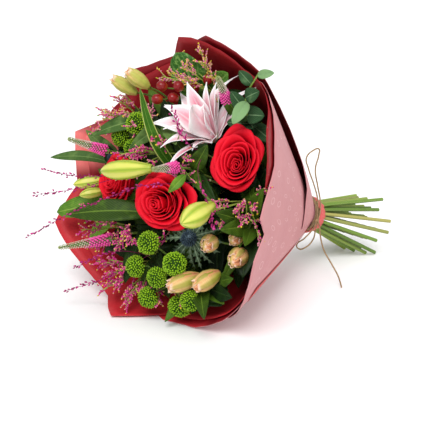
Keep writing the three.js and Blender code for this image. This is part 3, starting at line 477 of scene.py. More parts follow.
def wrap_radius(angle, w, layer):
    """How far a layer of the paper is from the bunch's axis"""
    out = max(0, w - KNEE)
    share = out / (RIM_DISTANCE - KNEE)
    sag = swell(angle, *SAG)
    pinch = swell(angle, *PINCH)
    rest = swell(angle, *REST)
    pleats = PLEAT_DEPTH * math.cos(math.radians(PLEATS * angle + 30))
    creases = CREASE_DEPTH * math.sin(math.radians(31 * angle)) * math.sin(math.radians(13 * angle + w))
    cone = NECK_RADIUS + FLARE * out + layer * (LAYER_GAP + LAYER_SPREAD * out)
    return cone + share * (rest + pleats + creases - pinch) + share ** 0.6 * sag


def grid_on(columns, rows, surface):
    """A grid whose columns and rows are laid on a surface, which takes s and t from 0 to 1"""
    bare()
    bpy.ops.mesh.primitive_grid_add(x_subdivisions=columns, y_subdivisions=rows, size=1)
    grid = bpy.context.object
    for vertex in grid.data.vertices:
        vertex.co = surface(vertex.co.x + 0.5, vertex.co.y + 0.5)
    return grid


def value_at(corners, place):
    """The value at a place on a line of straight runs, which has a place and a value at each corner"""
    for (a, value_a), (b, value_b) in zip(corners, corners[1:]):
        if place <= b:
            return value_a + (value_b - value_a) * (place - a) / (b - a)
    return corners[-1][1]


def paper_sheet(corners, layer, stand_off=None):
    """A sheet on the cone. Each corner of its rim is a bearing in degrees and a reach from the tie."""
    angles = sorted({angle for angle, _ in corners} | set(range(corners[0][0], corners[-1][0], SHEET_STEP)))

    def surface(s, t):
        angle = angles[round(s * (len(angles) - 1))]
        reach = value_at(corners, angle)
        w = PAPER_FOOT + (reach - PAPER_FOOT) * t
        radius = wrap_radius(angle, w, layer(angle))
        if stand_off:
            radius += stand_off(angle, w)
        turn = math.radians(angle)
        point = at(radius * math.cos(turn), radius * math.sin(turn), w)
        lowest = FLOOR_GAP + (2 - layer(angle)) * LAYER_GAP
        return point + UP * max(0, lowest - height_of(point))

    return grid_on(len(angles) - 1, SHEET_ROWS, surface)


def coated_paper(name, colour, dark, columns=0, painted_light=()):
    """
    Columns of drops are drawn round the outside. The ranges of painted light go round the sheet, from 0 to
    1, where its red side is painted brighter, as where light falls on it, each with the place along the
    sheet where that starts and its colour.
    """
    paint = Paint(name)
    soft = paint.speckle(18, 2)
    fine = paint.speckle(160, 4, 0.6)
    tone = paint.mix(soft, dark, colour)
    if columns:
        tone = paint.mix(outlined_drops(paint, columns) * 0.5, tone, (0.86, 0.62, 0.64))
    for start, end, inner, brighter in painted_light:
        around = paint.across()
        faded = paint.step(around, start, start + 0.03) * (1 - paint.step(around, end - 0.02, end))
        tone = paint.mix(faded * paint.step(paint.along(), inner, inner + 0.3), tone, brighter)
    return paint.finish(tone, 0.42 + fine * 0.2, soft * 2 + fine * 0.35, 0.5)


def outlined_drops(paint, columns):
    """Small outlined drops, far apart, a plain pattern on the outside of the paper"""
    coordinates = paint.node("ShaderNodeTexCoord", output="UV")
    rows = paint.node("ShaderNodeMapping", {}, {"Vector": coordinates, "Scale": (columns, 6, 1)})
    inputs = {"Vector": rows, "Scale": 1, "Randomness": 0.6}
    cell = paint.node("ShaderNodeTexVoronoi", {"voronoi_dimensions": "2D"}, inputs)
    return paint.step(cell, 0.13, 0.14) * (1 - paint.step(cell, 0.155, 0.165))


DUSTY_PINK = (0.60, 0.265, 0.275)
SHADED_PINK = (0.52, 0.21, 0.225)
PINK_FRONT = coated_paper("pink_paper_front", DUSTY_PINK, SHADED_PINK, columns=15)
PINK_OUTER = coated_paper("pink_paper_outer", DUSTY_PINK, SHADED_PINK, columns=38)
# Painted light: a coral and a bright red, painted on ranges of the crimson sides where light falls on them.
PAINTED_LIGHT_CORAL = (0.74, 0.17, 0.16)
PAINTED_LIGHT_RED = (0.50, 0.022, 0.030)
RED_SIDE = coated_paper(
    "crimson_paper", (0.26, 0.008, 0.014), (0.16, 0.004, 0.008),
    painted_light=[(0.54, 0.62, 0.6, PAINTED_LIGHT_CORAL), (0.6, 0.96, 0.5, PAINTED_LIGHT_RED)],
)
LINING = coated_paper(
    "crimson_lining", (0.34, 0.010, 0.016), (0.22, 0.005, 0.009),
    painted_light=[(0.465, 0.545, 0.55, PAINTED_LIGHT_CORAL), (0.54, 0.98, 0.3, PAINTED_LIGHT_RED)],
)


def two_sided(sheet, outside, inside):
    """Outside and inside get their own colour, and the sheet its thickness"""
    sheet.data.materials.append(outside)
    sheet.data.materials.append(inside)
    return modified(sheet, "SOLIDIFY", thickness=SHEET, offset=0, material_offset=1, material_offset_rim=0)


BILLOW = 8
BILLOW_BEARING = 48
BILLOW_WIDTH = 30
BILLOW_END = 262


def billow(angle, w):
    """The outer sheet stands off the others beside the open front, most of all halfway to its rim"""
    lift = max(0, math.sin(math.pi * (w - KNEE) / BILLOW_END)) ** 0.6
    return BILLOW * bell(angle, BILLOW_BEARING, BILLOW_WIDTH) * lift


outer_sheet = paper_sheet(
    [
        (-18, 66), (9, 70), (30, 78), (42, 110), (48, 175), (55, 262), (66, 262), (89, 268), (102, 250),
        (113, 246), (127, 254), (136, 263), (146, 243), (160, 250), (169, 277), (190, 259), (206, 283),
        (238, 253), (249, 250), (261, 224), (277, 240), (288, 236), (318, 240),
    ],
    lambda angle: 2 - smooth(270, 304, angle),
    billow,
)
outer_paper = two_sided(outer_sheet, PINK_OUTER, RED_SIDE)
placed("wrap_outer_sheet_paper", [outer_paper], "paper_pink", "wrap_outer_sheet")
FOLD_START = 14
FOLD_LENGTH = 206
FOLD_BEARING = -41
FOLD_STAND_OFF = 1.1


def fold_surface(s, t):
    """The lower edge of the front sheet is turned back, so that a narrow strip shows its red side"""
    w = FOLD_START + FOLD_LENGTH * t
    angle = FOLD_BEARING + (5 + 2 * t) * s
    radius = wrap_radius(angle, w, 2) + FOLD_STAND_OFF
    turn = math.radians(angle)
    return at(radius * math.cos(turn), radius * math.sin(turn), w)


front_sheet = paper_sheet(
    [
        (-52, 226), (-30, 268), (-18, 284), (-9, 264), (-3, 294), (9, 264), (20, 246), (30, 258), (42, 266),
        (55, 254), (66, 236), (76, 215),
    ],
    lambda angle: 2 - smooth(-42, -20, angle),
)
turned_back = grid_on(3, 40, fold_surface)
turned_back.data.materials.append(Paint("coral_fold").finish((0.56, 0.055, 0.055), 0.5))
modified(turned_back, "SOLIDIFY", thickness=SHEET, offset=0)
front_paper = two_sided(front_sheet, PINK_FRONT, RED_SIDE)
placed("wrap_front_sheet_paper", [front_paper, turned_back], "paper_pink", "wrap_front_sheet")

lining_sheet = paper_sheet(
    [
        (9, 268), (20, 270), (30, 288), (42, 274), (55, 262), (66, 256), (76, 262), (89, 266), (102, 273),
        (113, 246), (136, 252), (146, 242), (160, 254), (169, 268), (190, 246), (206, 262), (238, 246),
        (249, 262), (261, 279), (277, 226), (300, 228), (342, 240),
    ],
    lambda angle: 0,
)
lining_paper = two_sided(lining_sheet, LINING, LINING)
placed("wrap_lining_sheet_paper", [lining_paper], "paper_red", "wrap_lining_sheet")


# Cuff: the foot of the red paper, which goes on below the twine, crumpled and drawn in round the stems. Its
# profile is a radius and a place along the bunch at each corner, from its cut edge up to the binding.
CUFF_FOOT = -22
CUFF_THICKNESS = 0.7
CUFF_PROFILE = [(22.4, CUFF_FOOT), (24, -17), (26, -11), (26.4, -7), (26.2, -3.8)]


def cuff_surface(s, t):
    place = t * (len(CUFF_PROFILE) - 1)
    k = min(int(place), len(CUFF_PROFILE) - 2)
    (radius_a, w_a), (radius_b, w_b) = CUFF_PROFILE[k], CUFF_PROFILE[k + 1]
    radius = radius_a + (radius_b - radius_a) * (place - k)
    w = w_a + (w_b - w_a) * (place - k)
    turn = 2 * math.pi * s
    radius += 0.5 * math.sin(17 * turn) + 0.4 * math.sin(9 * turn + 5 * t)
    return at(radius * math.cos(turn), radius * math.sin(turn), w)


def cuff_red():
    paint = Paint("coral_cuff_paper")
    crumple = paint.speckle(120, 4, 0.6)
    colour = paint.mix(crumple, (0.52, 0.050, 0.055), (0.80, 0.16, 0.15))
    return paint.finish(colour, 0.45, crumple, 1.5)


cuff = paint_all(grid_on(140, 16, cuff_surface), cuff_red())
modified(cuff, "WELD", merge_threshold=0.01)
modified(cuff, "SOLIDIFY", thickness=CUFF_THICKNESS, offset=-1)
placed("cuff_paper", [cuff], "paper_red", "wrap_cuff")


# Stems: each runs straight through the neck and then out to its hub, below its bloom or first leaf. Where a
# stem lies is read from its solid: the cut end, and the middle of its straight run.
STEM_RADIUS = 2.55
STEMS = {
    "rose_right": (at(91, 38, 238), 2.6),
    "rose_centre": (at(30, -20, 256), 2.6),
    "rose_left": (at(-66, -13, 246), 2.4),
    "lily_tall": (at(2, 22, 262), 2.4),
    "lily_right": (at(32, 73, 232), 2.55),
    "lily_left": (at(-105, -17, 250), 1.8),
    "chrysanthemum_front": (at(24, -84, 215), 1.9),
    "chrysanthemum_back": (at(-62, 44, 230), 1.7),
    "eryngium_front": (at(66, -50, 262), 1.6),
    "eryngium_left": (at(-92, 8, 250), 1.5),
    "alstroemeria_right": (at(106, -44, 212), 1.8),
    "alstroemeria_front": (at(92, -82, 222), 1.8),
    "alstroemeria_top": (at(-38, 88, 236), 1.8),
    "veronica_upper": (at(-76, 22, 256), 1.4),
    "veronica_lower": (at(-46, -72, 266), 1.4),
    "veronica_centre": (at(48, 24, 280), 1.4),
    "veronica_right": (at(72, 104, 254), 1.4),
    "hypericum_spray": (at(-10, 106, 228), 1.8),
    "eucalyptus_sprig": (at(92, 92, 232), 1.6),
    "blade_upright": (at(12, 6, 236), 2),
    "blade_upper": (at(-48, 80, 248), 2),
    "blade_left": (at(-112, 6, 246), 1.8),
    "leaf_left": (at(-96, -36, 240), 2),
    "leaf_broad_left": (at(-10, -38, 262), 2.2),
    "leaf_round_top": (at(-16, 118, 226), 1.8),
    "leaf_right": (at(112, -22, 226), 2),
    "leaf_front": (at(50, -110, 222), 2),
    "filler_top": (at(12, 120, 226), 1.5),
    "filler_upper_left": (at(-82, 66, 240), 1.5),
    "filler_centre": (at(-18, 36, 268), 1.5),
    "filler_right": (at(104, 4, 236), 1.5),
    "filler_left": (at(-72, -66, 246), 1.5),
    "filler_front": (at(-32, -100, 230), 1.5),
    "grass_long": (at(70, 18, 270), 1.1),
    "grass_left": (at(-40, 13, 270), 1.1),
    "grass_low": (at(-12, -92, 260), 1.1),
    "grass_lily": (at(56, 48, 276), 1.1),
}
SOLIDS = {"rose_" + side: "rose_" + side + "_stem" for side in ("right", "centre", "left")}
SOLIDS.update({"lily_" + side: "lily_stem_" + side for side in ("tall", "right", "left")})
CUT_END = 3
NECK_MARGIN = 3


def middle_of(points):
    """The middle of the box round some points"""
    low = Vector(min(point[k] for point in points) for k in range(3))
    high = Vector(max(point[k] for point in points) for k in range(3))
    return (low + high) / 2


def stem_points(name):
    """The cut end, two places in the neck and the hub of a stem"""
    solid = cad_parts[SOLIDS.get(name, name)]
    home = BUNCH.inverted()
    corners = [home @ vertex.co for vertex in solid.data.vertices]
    lowest = min(corner.z for corner in corners)
    end = middle_of([corner for corner in corners if corner.z < lowest + CUT_END])
    neck = middle_of([
        corner for corner in corners if CUFF_FOOT - NECK_MARGIN < corner.z < KNEE + NECK_MARGIN
    ])
    return end, at(neck.x, neck.y, CUFF_FOOT), at(neck.x, neck.y, KNEE), STEMS[name][0]


def stem_axis(name):
    """The way a stem runs from the neck to its hub"""
    points = stem_points(name)
    return (points[3] - points[2]).normalized()


def stem_greens():
    """Fresh stems: mid greens that differ from stem to stem, with fine streaks and a pale cut end"""
    paint = Paint("fresh_stems")
    streak = paint.speckle(260, 3)
    green = paint.ramp(
        paint.shade(),
        [
            (0, (0.045, 0.11, 0.015)), (0.3, (0.13, 0.24, 0.03)), (0.55, (0.30, 0.40, 0.06)),
            (0.75, (0.08, 0.15, 0.03)), (0.9, (0.42, 0.36, 0.11)), (1, (0.26, 0.15, 0.07)),
        ],
    )
    tone = paint.mix(streak * 0.5, green, paint.mix(0.4, green, (0.45, 0.52, 0.14)))
    cut = 1 - paint.step(paint.along(), 0.0, 0.012)
    return paint.finish(paint.mix(cut, tone, (0.62, 0.66, 0.36)), 0.45, streak, 0.3)


STEM_GREENS = stem_greens()


def shaded(part, value):
    """Gives a copy its own tint"""
    mesh = part.data
    tints = mesh.attributes.new("shade", "FLOAT", "POINT")
    tints.data.foreach_set("value", [value] * len(mesh.vertices))
    return part


def meshed(curve):
    """A curve made a mesh"""
    bare()
    curve.select_set(True)
    bpy.context.view_layer.objects.active = curve
    bpy.ops.object.convert(target="MESH")
    return bpy.context.view_layer.objects.active


def stalk(points, radii, tint, sides=2, steps=6, material=STEM_GREENS):
    """A round stalk as a mesh, with its finish and its own tint"""
    return shaded(paint_all(meshed(line(points, radii, sides, steps)), material), tint)


def main_stem(name):
    """A stem from its cut end to its hub, straight through the neck"""
    end, low, knee, hub = stem_points(name)
    route = [end, end.lerp(low, 0.8), low, knee, knee.lerp(hub, 0.12), knee.lerp(hub, 0.55), hub]
    radius = STEMS[name][1]
    tint = random.Random(name).random()
    radii = [STEM_RADIUS] * 5 + [(STEM_RADIUS + radius) / 2, radius]
    return stalk(route, radii, tint, sides=4, steps=5)


def shoot(start, end, radius, bend=0.12, tint=0.1):
    """A side shoot that leaves a point with a bend outwards"""
    middle = start.lerp(end, 0.5)
    middle += Vector((middle.x, middle.y, 0)).normalized() * (end - start).length * bend
    return stalk([start, middle, end], [radius, radius, radius * 0.85], tint)


# Leaves: a thin blade grows from a stem to its tip, folded along its midrib. Facing is the way its upper
# side looks, arch lifts its middle, belly is where it is widest and a small blunt rounds it.
BLADE = 0.5


def blade_on(surface, across, along, material, tint=0.5, thickness=BLADE):
    """A thin blade: surface(s, t) is its middle, with s from -1 to 1 across and t from 0 to 1 along"""
    blade = grid_on(across, along, lambda s, t: surface(2 * s - 1, t))
    paint_all(blade, material)
    modified(blade, "SOLIDIFY", thickness=thickness, offset=0)
    return shaded(blade, tint)


def leaf(
    foot, tip, width, facing, material,
    arch=0.12, belly=0.45, blunt=0.75, wave=0, tint=0.5, teeth=0, rows=18, bend=0,
):
    """One leaf, with waves or teeth along its edges and a bend to one side where they are given"""
    run = tip - foot
    forward = run.normalized()
    side = forward.cross(facing).normalized()
    face = side.cross(forward)
    peak = math.log(0.5) / math.log(belly)

    def surface(s, t):
        half = max(0.3, width / 2 * math.sin(math.pi * min(t, 1) ** peak) ** blunt)
        half *= 1 + teeth * abs(s) * (abs(math.sin(9 * math.pi * t)) - 0.6)
        fold = 0.15 * half * abs(s) - 0.05 * half * math.exp(-(s * 5) ** 2)
        ripple = half * abs(s) * (wave * math.sin(5 * math.pi * t + 2 * s) + 0.05 * math.sin(9 * t + 3 * s))
        raised = run.length * arch * math.sin(math.pi * t) + fold + ripple
        return foot + run * t + side * (s * half + run.length * bend * math.sin(math.pi * t)) + face * raised

    return blade_on(surface, 8 if rows > 10 else 4, rows, material, tint)


def leaf_finish(name, dark, pale, rib, veins=26, slant=10, gloss=0.35, edge=None, mottle=0):
    """A leaf's surface: a pale midrib, fine veins that slant from it, and blotches"""
    paint = Paint(name)
    aside = paint.aside()
    phase = (paint.along() * veins - aside * slant) * (2 * math.pi)
    vein = paint.step(phase.sine(), 0.55, 1)
    blotch = paint.speckle(90, 4)
    green = paint.mix(paint.step(blotch + (paint.shade() - 0.5) * 0.7, 0.3, 0.75), dark, pale)
    if mottle:
        green = paint.mix(paint.step(paint.speckle(240, 5, 0.7), 0.5, 0.62) * mottle, green, rib)
    green = paint.mix(vein * 0.22, green, rib)
    midrib = 1 - paint.step(aside, 0.012, 0.05)
    green = paint.mix(midrib * 0.6, green, rib)
    if edge:
        green = paint.mix(paint.step(aside, 0.40, 0.44), green, edge)
    height = vein * -0.6 + midrib * -1 + blotch * 0.6
    return paint.finish(green, gloss + blotch * 0.15, height, 0.25, Specular_IOR_Level=0.14)


LEAF_DEEP = leaf_finish("deep_green_leaf", (0.020, 0.048, 0.004), (0.060, 0.125, 0.010), (0.15, 0.25, 0.03))
LEAF_FRESH = leaf_finish("fresh_green_leaf", (0.06, 0.16, 0.010), (0.15, 0.30, 0.025), (0.30, 0.44, 0.08))
LEAF_SHADED = leaf_finish("shaded_leaf", (0.004, 0.013, 0.003), (0.015, 0.040, 0.006), (0.04, 0.08, 0.02))
LEAF_BLUE = leaf_finish(
    "grey_green_leaf", (0.045, 0.105, 0.02), (0.13, 0.22, 0.055), (0.22, 0.34, 0.11), gloss=0.5,
)
LEAF_MOTTLED = leaf_finish(
    "mottled_leaf", (0.025, 0.10, 0.015), (0.07, 0.20, 0.02), (0.24, 0.42, 0.10),
    veins=5, slant=5, mottle=0.5,
)
LEAF_EDGED = leaf_finish(
    "cream_edged_leaf", (0.028, 0.11, 0.006), (0.075, 0.20, 0.012), (0.18, 0.32, 0.05),
    veins=0, edge=(0.44, 0.50, 0.13),
)
PAPER_CLEARANCE = 13
BOUQUET_RADIUS = 130


def within_wrap(point, margin):
    """The point, or the nearest one to it that lies inside the paper and clear of the floor"""
    out = math.hypot(point.x, point.y)
    turn = math.degrees(math.atan2(point.y, point.x))
    share = min(1, (wrap_radius(turn, point.z, 0) - margin) / out)
    inner = at(point.x * share, point.y * share, point.z)
    return inner + UP * max(0, margin - height_of(inner))


def undergrowth(name, count, length=70, width=24, low=0.5, over=18):
    """The lower leaves of a stem, which fill the bunch below its blooms and reach a little over its hub"""
    dice = random.Random(name + " leaves")
    _, _, knee, hub = stem_points(name)
    along = (hub - knee).normalized()
    parts = []
    for k in range(count):
        joint = knee.lerp(hub, low + (0.97 - low) * (k + dice.random()) / count)
        aside = along.orthogonal().normalized()
        aside.rotate(Quaternion(along, 2.4 * k + dice.random()))
        reach = length * dice.uniform(0.75, 1.15)
        outward = at(hub.x, hub.y, 0) / BOUQUET_RADIUS
        tip = joint + (along * dice.uniform(0.25, 0.8) + aside + outward).normalized() * reach
        tip.z = min(tip.z, hub.z + over)
        tip = within_wrap(tip, PAPER_CLEARANCE)
        broad = width * dice.uniform(0.8, 1.15)
        finish = LEAF_SHADED if k % 3 else LEAF_DEEP
        parts.append(leaf(joint, tip, broad, at(0.35, 0.05, 1), finish, tint=dice.random(), rows=9))
    return parts


# Foliage stems: cut greens between the blooms, from one blade with a cream edge to a spray of five leaves,
# all from the top of their stem. Each leaf has its tip, its width, the way it faces and its other settings.
FOLIAGE = {
    "blade_upright": (LEAF_EDGED, [
        (at(-14, 106, 338), 15, at(0.9, 0, 0.4), dict(arch=0.04, blunt=0.6, bend=-0.12)),
    ]),
    "blade_upper": (LEAF_BLUE, [
        (at(-124, 36, 304), 24, at(0.4, 0.4, 0.8), dict(arch=0.14)),
        (at(-30, 32, 318), 20, at(0.6, 0, 0.8), dict(arch=0.05)),
        (at(30, 50, 300), 26, at(0.6, 0.1, 0.8), dict(arch=0.04)),
    ]),
    "blade_left": (LEAF_BLUE, [
        (at(-184, -4, 312), 17, at(0.5, 0.6, 0.6), dict(arch=0.12, belly=0.6)),
        (at(-160, 42, 284), 20, at(0.4, 0.3, 0.8), dict(arch=0.06)),
    ]),
    "leaf_left": (LEAF_FRESH, [
        (at(-160, -72, 300), 30, at(0.5, 0.4, 0.8), dict(arch=0.06, belly=0.62, blunt=0.5)),
        (at(-128, -100, 262), 26, at(0.3, 0.2, 0.9), dict(arch=0.08)),
    ]),
    "leaf_broad_left": (LEAF_DEEP, [
        (at(-108, -68, 326), 30, at(0.5, 0.35, 0.8), dict(arch=0.1, belly=0.5)),
    ]),
    "leaf_round_top": (LEAF_MOTTLED, [
        (at(-34, 162, 276), 46, at(0.5, -0.1, 0.85), dict(arch=0.06, blunt=0.5, wave=0.12)),
        (at(44, 150, 256), 34, at(0.4, -0.2, 0.9), dict(arch=0.05, blunt=0.6)),
    ]),
    "leaf_right": (LEAF_DEEP, [
        (at(120, -16, 300), 26, at(0.8, 0.1, 0.5), dict(arch=0.1)),
        (at(130, -34, 296), 26, at(0.7, 0, 0.7), dict(arch=0.12)),
        (at(148, -46, 268), 20, at(0.7, 0, 0.7), dict(arch=0.08)),
        (at(105, -101, 247), 15, at(0.8, 0.1, 0.5), dict(arch=0.05)),
        (at(150, 24, 262), 24, at(0.2, 0, 1), dict(arch=0.05)),
    ]),
    "leaf_front": (LEAF_DEEP, [
        (at(120, -142, 276), 24, at(0.5, 0.3, 0.8), dict(arch=0.12)),
        (at(128, -88, 252), 26, at(0.8, 0.1, 0.6), dict(arch=0.06)),
        (at(116, -122, 244), 24, at(0.8, 0.1, 0.6), dict(arch=0.06)),
        (at(46, -164, 264), 20, at(0.4, 0.5, 0.7), dict(arch=0.1)),
    ]),
}
# More leaves, in the shade below these two sprays, keep the paper from showing between the blooms
DEEP_LEAVES = {
    "leaf_right": [at(140, -84, 250), at(125, -84, 240), at(136, -60, 240)],
    "leaf_front": [
        at(128, -111, 246), at(110, -125, 240), at(114, -105, 240), at(90, -132, 240), at(70, -146, 246),
    ],
}
DEEP_WIDTH = 30
for name, (material, leaves) in FOLIAGE.items():
    foot = STEMS[name][0] - stem_axis(name) * 2
    parts = [main_stem(name)]
    for k, (tip, width, facing, settings) in enumerate(leaves):
        parts.append(leaf(foot, tip, width, facing, material, tint=0.3 + 0.3 * k, **settings))
    for tip in DEEP_LEAVES.get(name, []):
        parts.append(leaf(foot, tip, DEEP_WIDTH, at(0.6, -0.1, 0.8), LEAF_SHADED, arch=0.08))
    parts += undergrowth(name, 7)
    placed(name + "_foliage", parts, "leaf_green", name)


# Eucalyptus: round leaves up one thin twig, grey-green under a powdery bloom. Each leaf has its foot, its
# tip, its width and its tint, which paints light and shade: pale on the leaves that catch the light, dark
# behind.
EUCALYPTUS = [
    (at(94, 95, 246), at(114, 89, 264), 20, 0),
    (at(94, 95, 248), at(77, 90, 272), 18, 0.1),
    (at(98, 104, 262), at(132, 106, 270), 22, 0),
    (at(98, 106, 264), at(87, 126, 288), 17, 0.15),
    (at(108, 118, 279), at(116, 88, 302), 17, 1),
    (at(105, 122, 280), at(128, 132, 284), 18, 0.2),
    (at(112, 138, 282), at(104, 150, 300), 14, 0.3),
    (at(119, 150, 284), at(141, 156, 281), 11, 0.9),
    (at(93, 93, 240), at(132, 80, 246), 20, 0),
]
POWDERY = leaf_finish(
    "powdery_leaf", (0.018, 0.060, 0.020), (0.19, 0.33, 0.14), (0.22, 0.36, 0.18), veins=8, gloss=0.6,
)
parts = [main_stem("eucalyptus_sprig")]
twig = [STEMS["eucalyptus_sprig"][0], at(98, 104, 262), at(106, 124, 280), at(120, 152, 284)]
parts.append(stalk(twig, [1.4, 1.3, 1.1, 0.8], 0.3))
for foot, tip, width, tint in EUCALYPTUS:
    parts.append(leaf(foot, tip, width, at(0.6, 0, 0.8), POWDERY, arch=0.08, blunt=0.6, tint=tint))
placed("eucalyptus_leaves", parts, "leaf_grey", "eucalyptus_sprig")


# Roses: a coiled heart, then seven whorls of velvety petals that open wider and roll back at their rims, on
# a green calyx and a stem with toothed leaves. A whorl's lip is a share of the bloom's radius, and its rise
# a share of its height.
def aimed(part, foot, axis):
    """Turns a part that was made along z so that it stands at a foot and points along an axis"""
    turn = Vector((0, 0, 1)).rotation_difference(axis.normalized())
    part.data.transform(Matrix.LocRotScale(foot, turn, None))
    return part


def velvet():
    paint = Paint("red_rose_petals")
    along = paint.along()
    fine = paint.speckle(700, 3)
    broad = paint.speckle(60, 2)
    # Painted shade darkens each petal towards its foot, deep in the bloom, and a painted highlight lightens
    # its rim.
    deep = paint.mix(paint.step(along, 0.2, 0.85), (0.16, 0.0, 0.004), (0.70, 0.003, 0.016))
    red = paint.mix(paint.step(along, 0.86, 1) * 0.7, deep, (0.84, 0.014, 0.036))
    tone = paint.mix(paint.step(broad + paint.shade() * 0.3, 0.4, 0.9) * 0.4, red, (0.52, 0.001, 0.010))
    return paint.finish(tone, 0.6, fine * 0.3 + broad, 0.3, Subsurface_Weight=0.04, Specular_IOR_Level=0.12)


VELVET = velvet()
PETAL_FOOT = 0.04
# Foot is a whorl's radius below, half its petals' half width in degrees, and roll how far they turn back
ROSE_WHORLS = [
    dict(petals=3, foot=3, lip=0.19, rise=0.98, half=84, roll=0.01, point=0.1),
    dict(petals=3, foot=4, lip=0.31, rise=1.0, half=80, roll=0.02, point=0.1),
    dict(petals=3, foot=5, lip=0.46, rise=1.0, half=78, roll=0.05, point=0.12),
    dict(petals=3, foot=6, lip=0.60, rise=1.0, half=80, roll=0.08, point=0.16),
    dict(petals=4, foot=6, lip=0.74, rise=0.98, half=68, roll=0.13, point=0.18),
    dict(petals=4, foot=7, lip=0.88, rise=0.93, half=66, roll=0.18, point=0.2),
    dict(petals=4, foot=8, lip=1, rise=0.84, half=66, roll=0.2, point=0.24),
]


def rose_petal(whorl, bearing, size, radius, height, drift):
    """One petal of a whorl, cupped below and rolled back at its lip"""
    half = math.radians(whorl["half"])

    def surface(s, t):
        rim = 1 - whorl["point"] * abs(s) ** 1.5
        t *= rim
        open_out = t ** 0.62
        rolled = max(0, t - 0.72) / 0.28
        reach = whorl["foot"] + (radius * whorl["lip"] * size - whorl["foot"]) * open_out
        reach += radius * whorl["roll"] * rolled ** 1.6
        narrow = math.sin(math.pi * (0.14 + 0.62 * t)) ** 0.7
        angle = bearing + s * half * narrow
        lift = height * (PETAL_FOOT + (whorl["rise"] * size - PETAL_FOOT) * t)
        lift -= height * whorl["roll"] * 0.9 * rolled ** 2
        reach += 1.6 * s + 0.5 * math.sin(5 * s + bearing) * t
        return at(reach * math.cos(angle), reach * math.sin(angle), lift) + drift * whorl["lip"] * t

    return surface


def rose_heart(radius, height):
    """The innermost petals, coiled two and a half times"""
    coils = 2.5

    def surface(s, t):
        angle = (s + 1) * coils * math.pi
        reach = (0.05 + 0.13 * (s + 1)) * radius * 0.62 * (0.75 + 0.5 * t)
        lift = height * (0.35 + 0.66 * t - 0.05 * (s + 1) * t)
        return at(reach * math.cos(angle), reach * math.sin(angle), lift)

    return surface


def rose(foot, shape, seed):
    """The heart and the petals of a rose, from the inside out"""
    dice = random.Random(seed)
    radius, height = shape["radius"], shape["height"]
    parts = [blade_on(rose_heart(radius, height), 60, 10, VELVET, 0.9)]
    for number, whorl in enumerate(ROSE_WHORLS):
        for k in range(whorl["petals"]):
            bearing = 2 * math.pi * (k + dice.random() * 0.3) / whorl["petals"] + number * 2.4
            size = 1 + 0.08 * (dice.random() - 0.5)
            surface = rose_petal(whorl, bearing, size, radius, height, shape["drift"])
            parts.append(blade_on(surface, 14, 12, VELVET, dice.random()))
    for part in parts:
        part.data.transform(Matrix.Diagonal((*shape["oval"], 1, 1)))
    return [aimed(part, foot, shape["axis"]) for part in parts]


ROSES = {
    "rose_right": dict(
        lean=at(0, 2, 0), axis=at(0.5, 0.05, 0.86), radius=35, height=50,
        oval=(0.78, 1), drift=at(-6, 9, 0),
    ),
    "rose_centre": dict(
        lean=at(-12, -2, 5), axis=at(0.2, -0.1, 0.97), radius=36, height=55,
        oval=(1.08, 0.9), drift=at(6, 7, 0),
    ),
    "rose_left": dict(
        lean=at(-7, 2, 5), axis=at(-0.15, -0.1, 0.98), radius=31, height=48,
        oval=(1, 1.04), drift=at(0, 3, 0),
    ),
}
# A rose's leaves: how far below its bloom each leaves the stem, its tip and its width
ROSE_LEAVES = {
    "rose_right": [(34, at(128, 6, 252), 26), (60, at(120, 74, 236), 24)],
    "rose_centre": [(44, at(66, -2, 262), 24), (70, at(-2, -62, 248), 26)],
    "rose_left": [(40, at(-108, -30, 248), 24), (52, at(-34, 12, 246), 24)],
}
for number, (name, shape) in enumerate(ROSES.items()):
    seat = STEMS[name][0]
    foot = seat + shape["lean"]
    placed(name + "_petals", rose(foot, shape, number + 1), "rose_red", name + "_bloom")
    parts = [main_stem(name)]
    calyx = stalk([at(0, 0, -9), at(0, 0, -5), at(0, 0, -0.6)], [2.6, 6, 7.5], 0.3, sides=6, steps=8)
    parts.append(aimed(calyx, foot, shape["axis"]))
    parts.append(stalk([seat, foot - shape["axis"] * 4], [2.4, 2.4], 0.3))
    for below, tip, width in ROSE_LEAVES[name]:
        joint = seat - stem_axis(name) * below
        parts.append(stalk([joint, joint.lerp(tip, 0.3)], [1.1, 0.8], 0.3))
        parts.append(leaf(joint.lerp(tip, 0.26), tip, width, at(0.2, 0, 1), LEAF_DEEP, arch=0.1, teeth=0.16))
    parts += undergrowth(name, 8)
    placed(name + "_greens", parts, "leaf_green", name + "_stem")


# Lily: one double bloom of long petals, pink with white margins, that rise together from the throat and fan
# out to the upper left. Each has its bearing round the throat and its opening in degrees, then its size.
def lily_finish():
    paint = Paint("pink_lily_petals")
    aside = paint.aside() * 2
    along = paint.along()
    streak = paint.speckle(300, 2)
    body = paint.mix(paint.shade(), (0.94, 0.78, 0.80), (0.84, 0.42, 0.49))
    band = paint.step(aside, 0.04, 0.14) * (1 - paint.step(aside + streak * 0.3, 0.3, 0.66))
    strong = band * (1 - paint.step(along, 0.5, 0.9)) * (0.35 + paint.shade() * 0.6)
    tone = paint.mix(strong, body, (0.78, 0.18, 0.28))
    tone = paint.mix(paint.step(aside + streak * 0.2, 0.6, 0.95), tone, (0.97, 0.95, 0.94))
    tone = paint.mix(paint.step(along, 0.66, 1) * 0.85, tone, (0.97, 0.94, 0.94))
    tone = paint.mix((1 - paint.step(along, 0.02, 0.2)) * 0.8, tone, (0.55, 0.60, 0.28))
    return paint.finish(tone, 0.5, streak * 0.6 + band, 0.4, Subsurface_Weight=0.08)


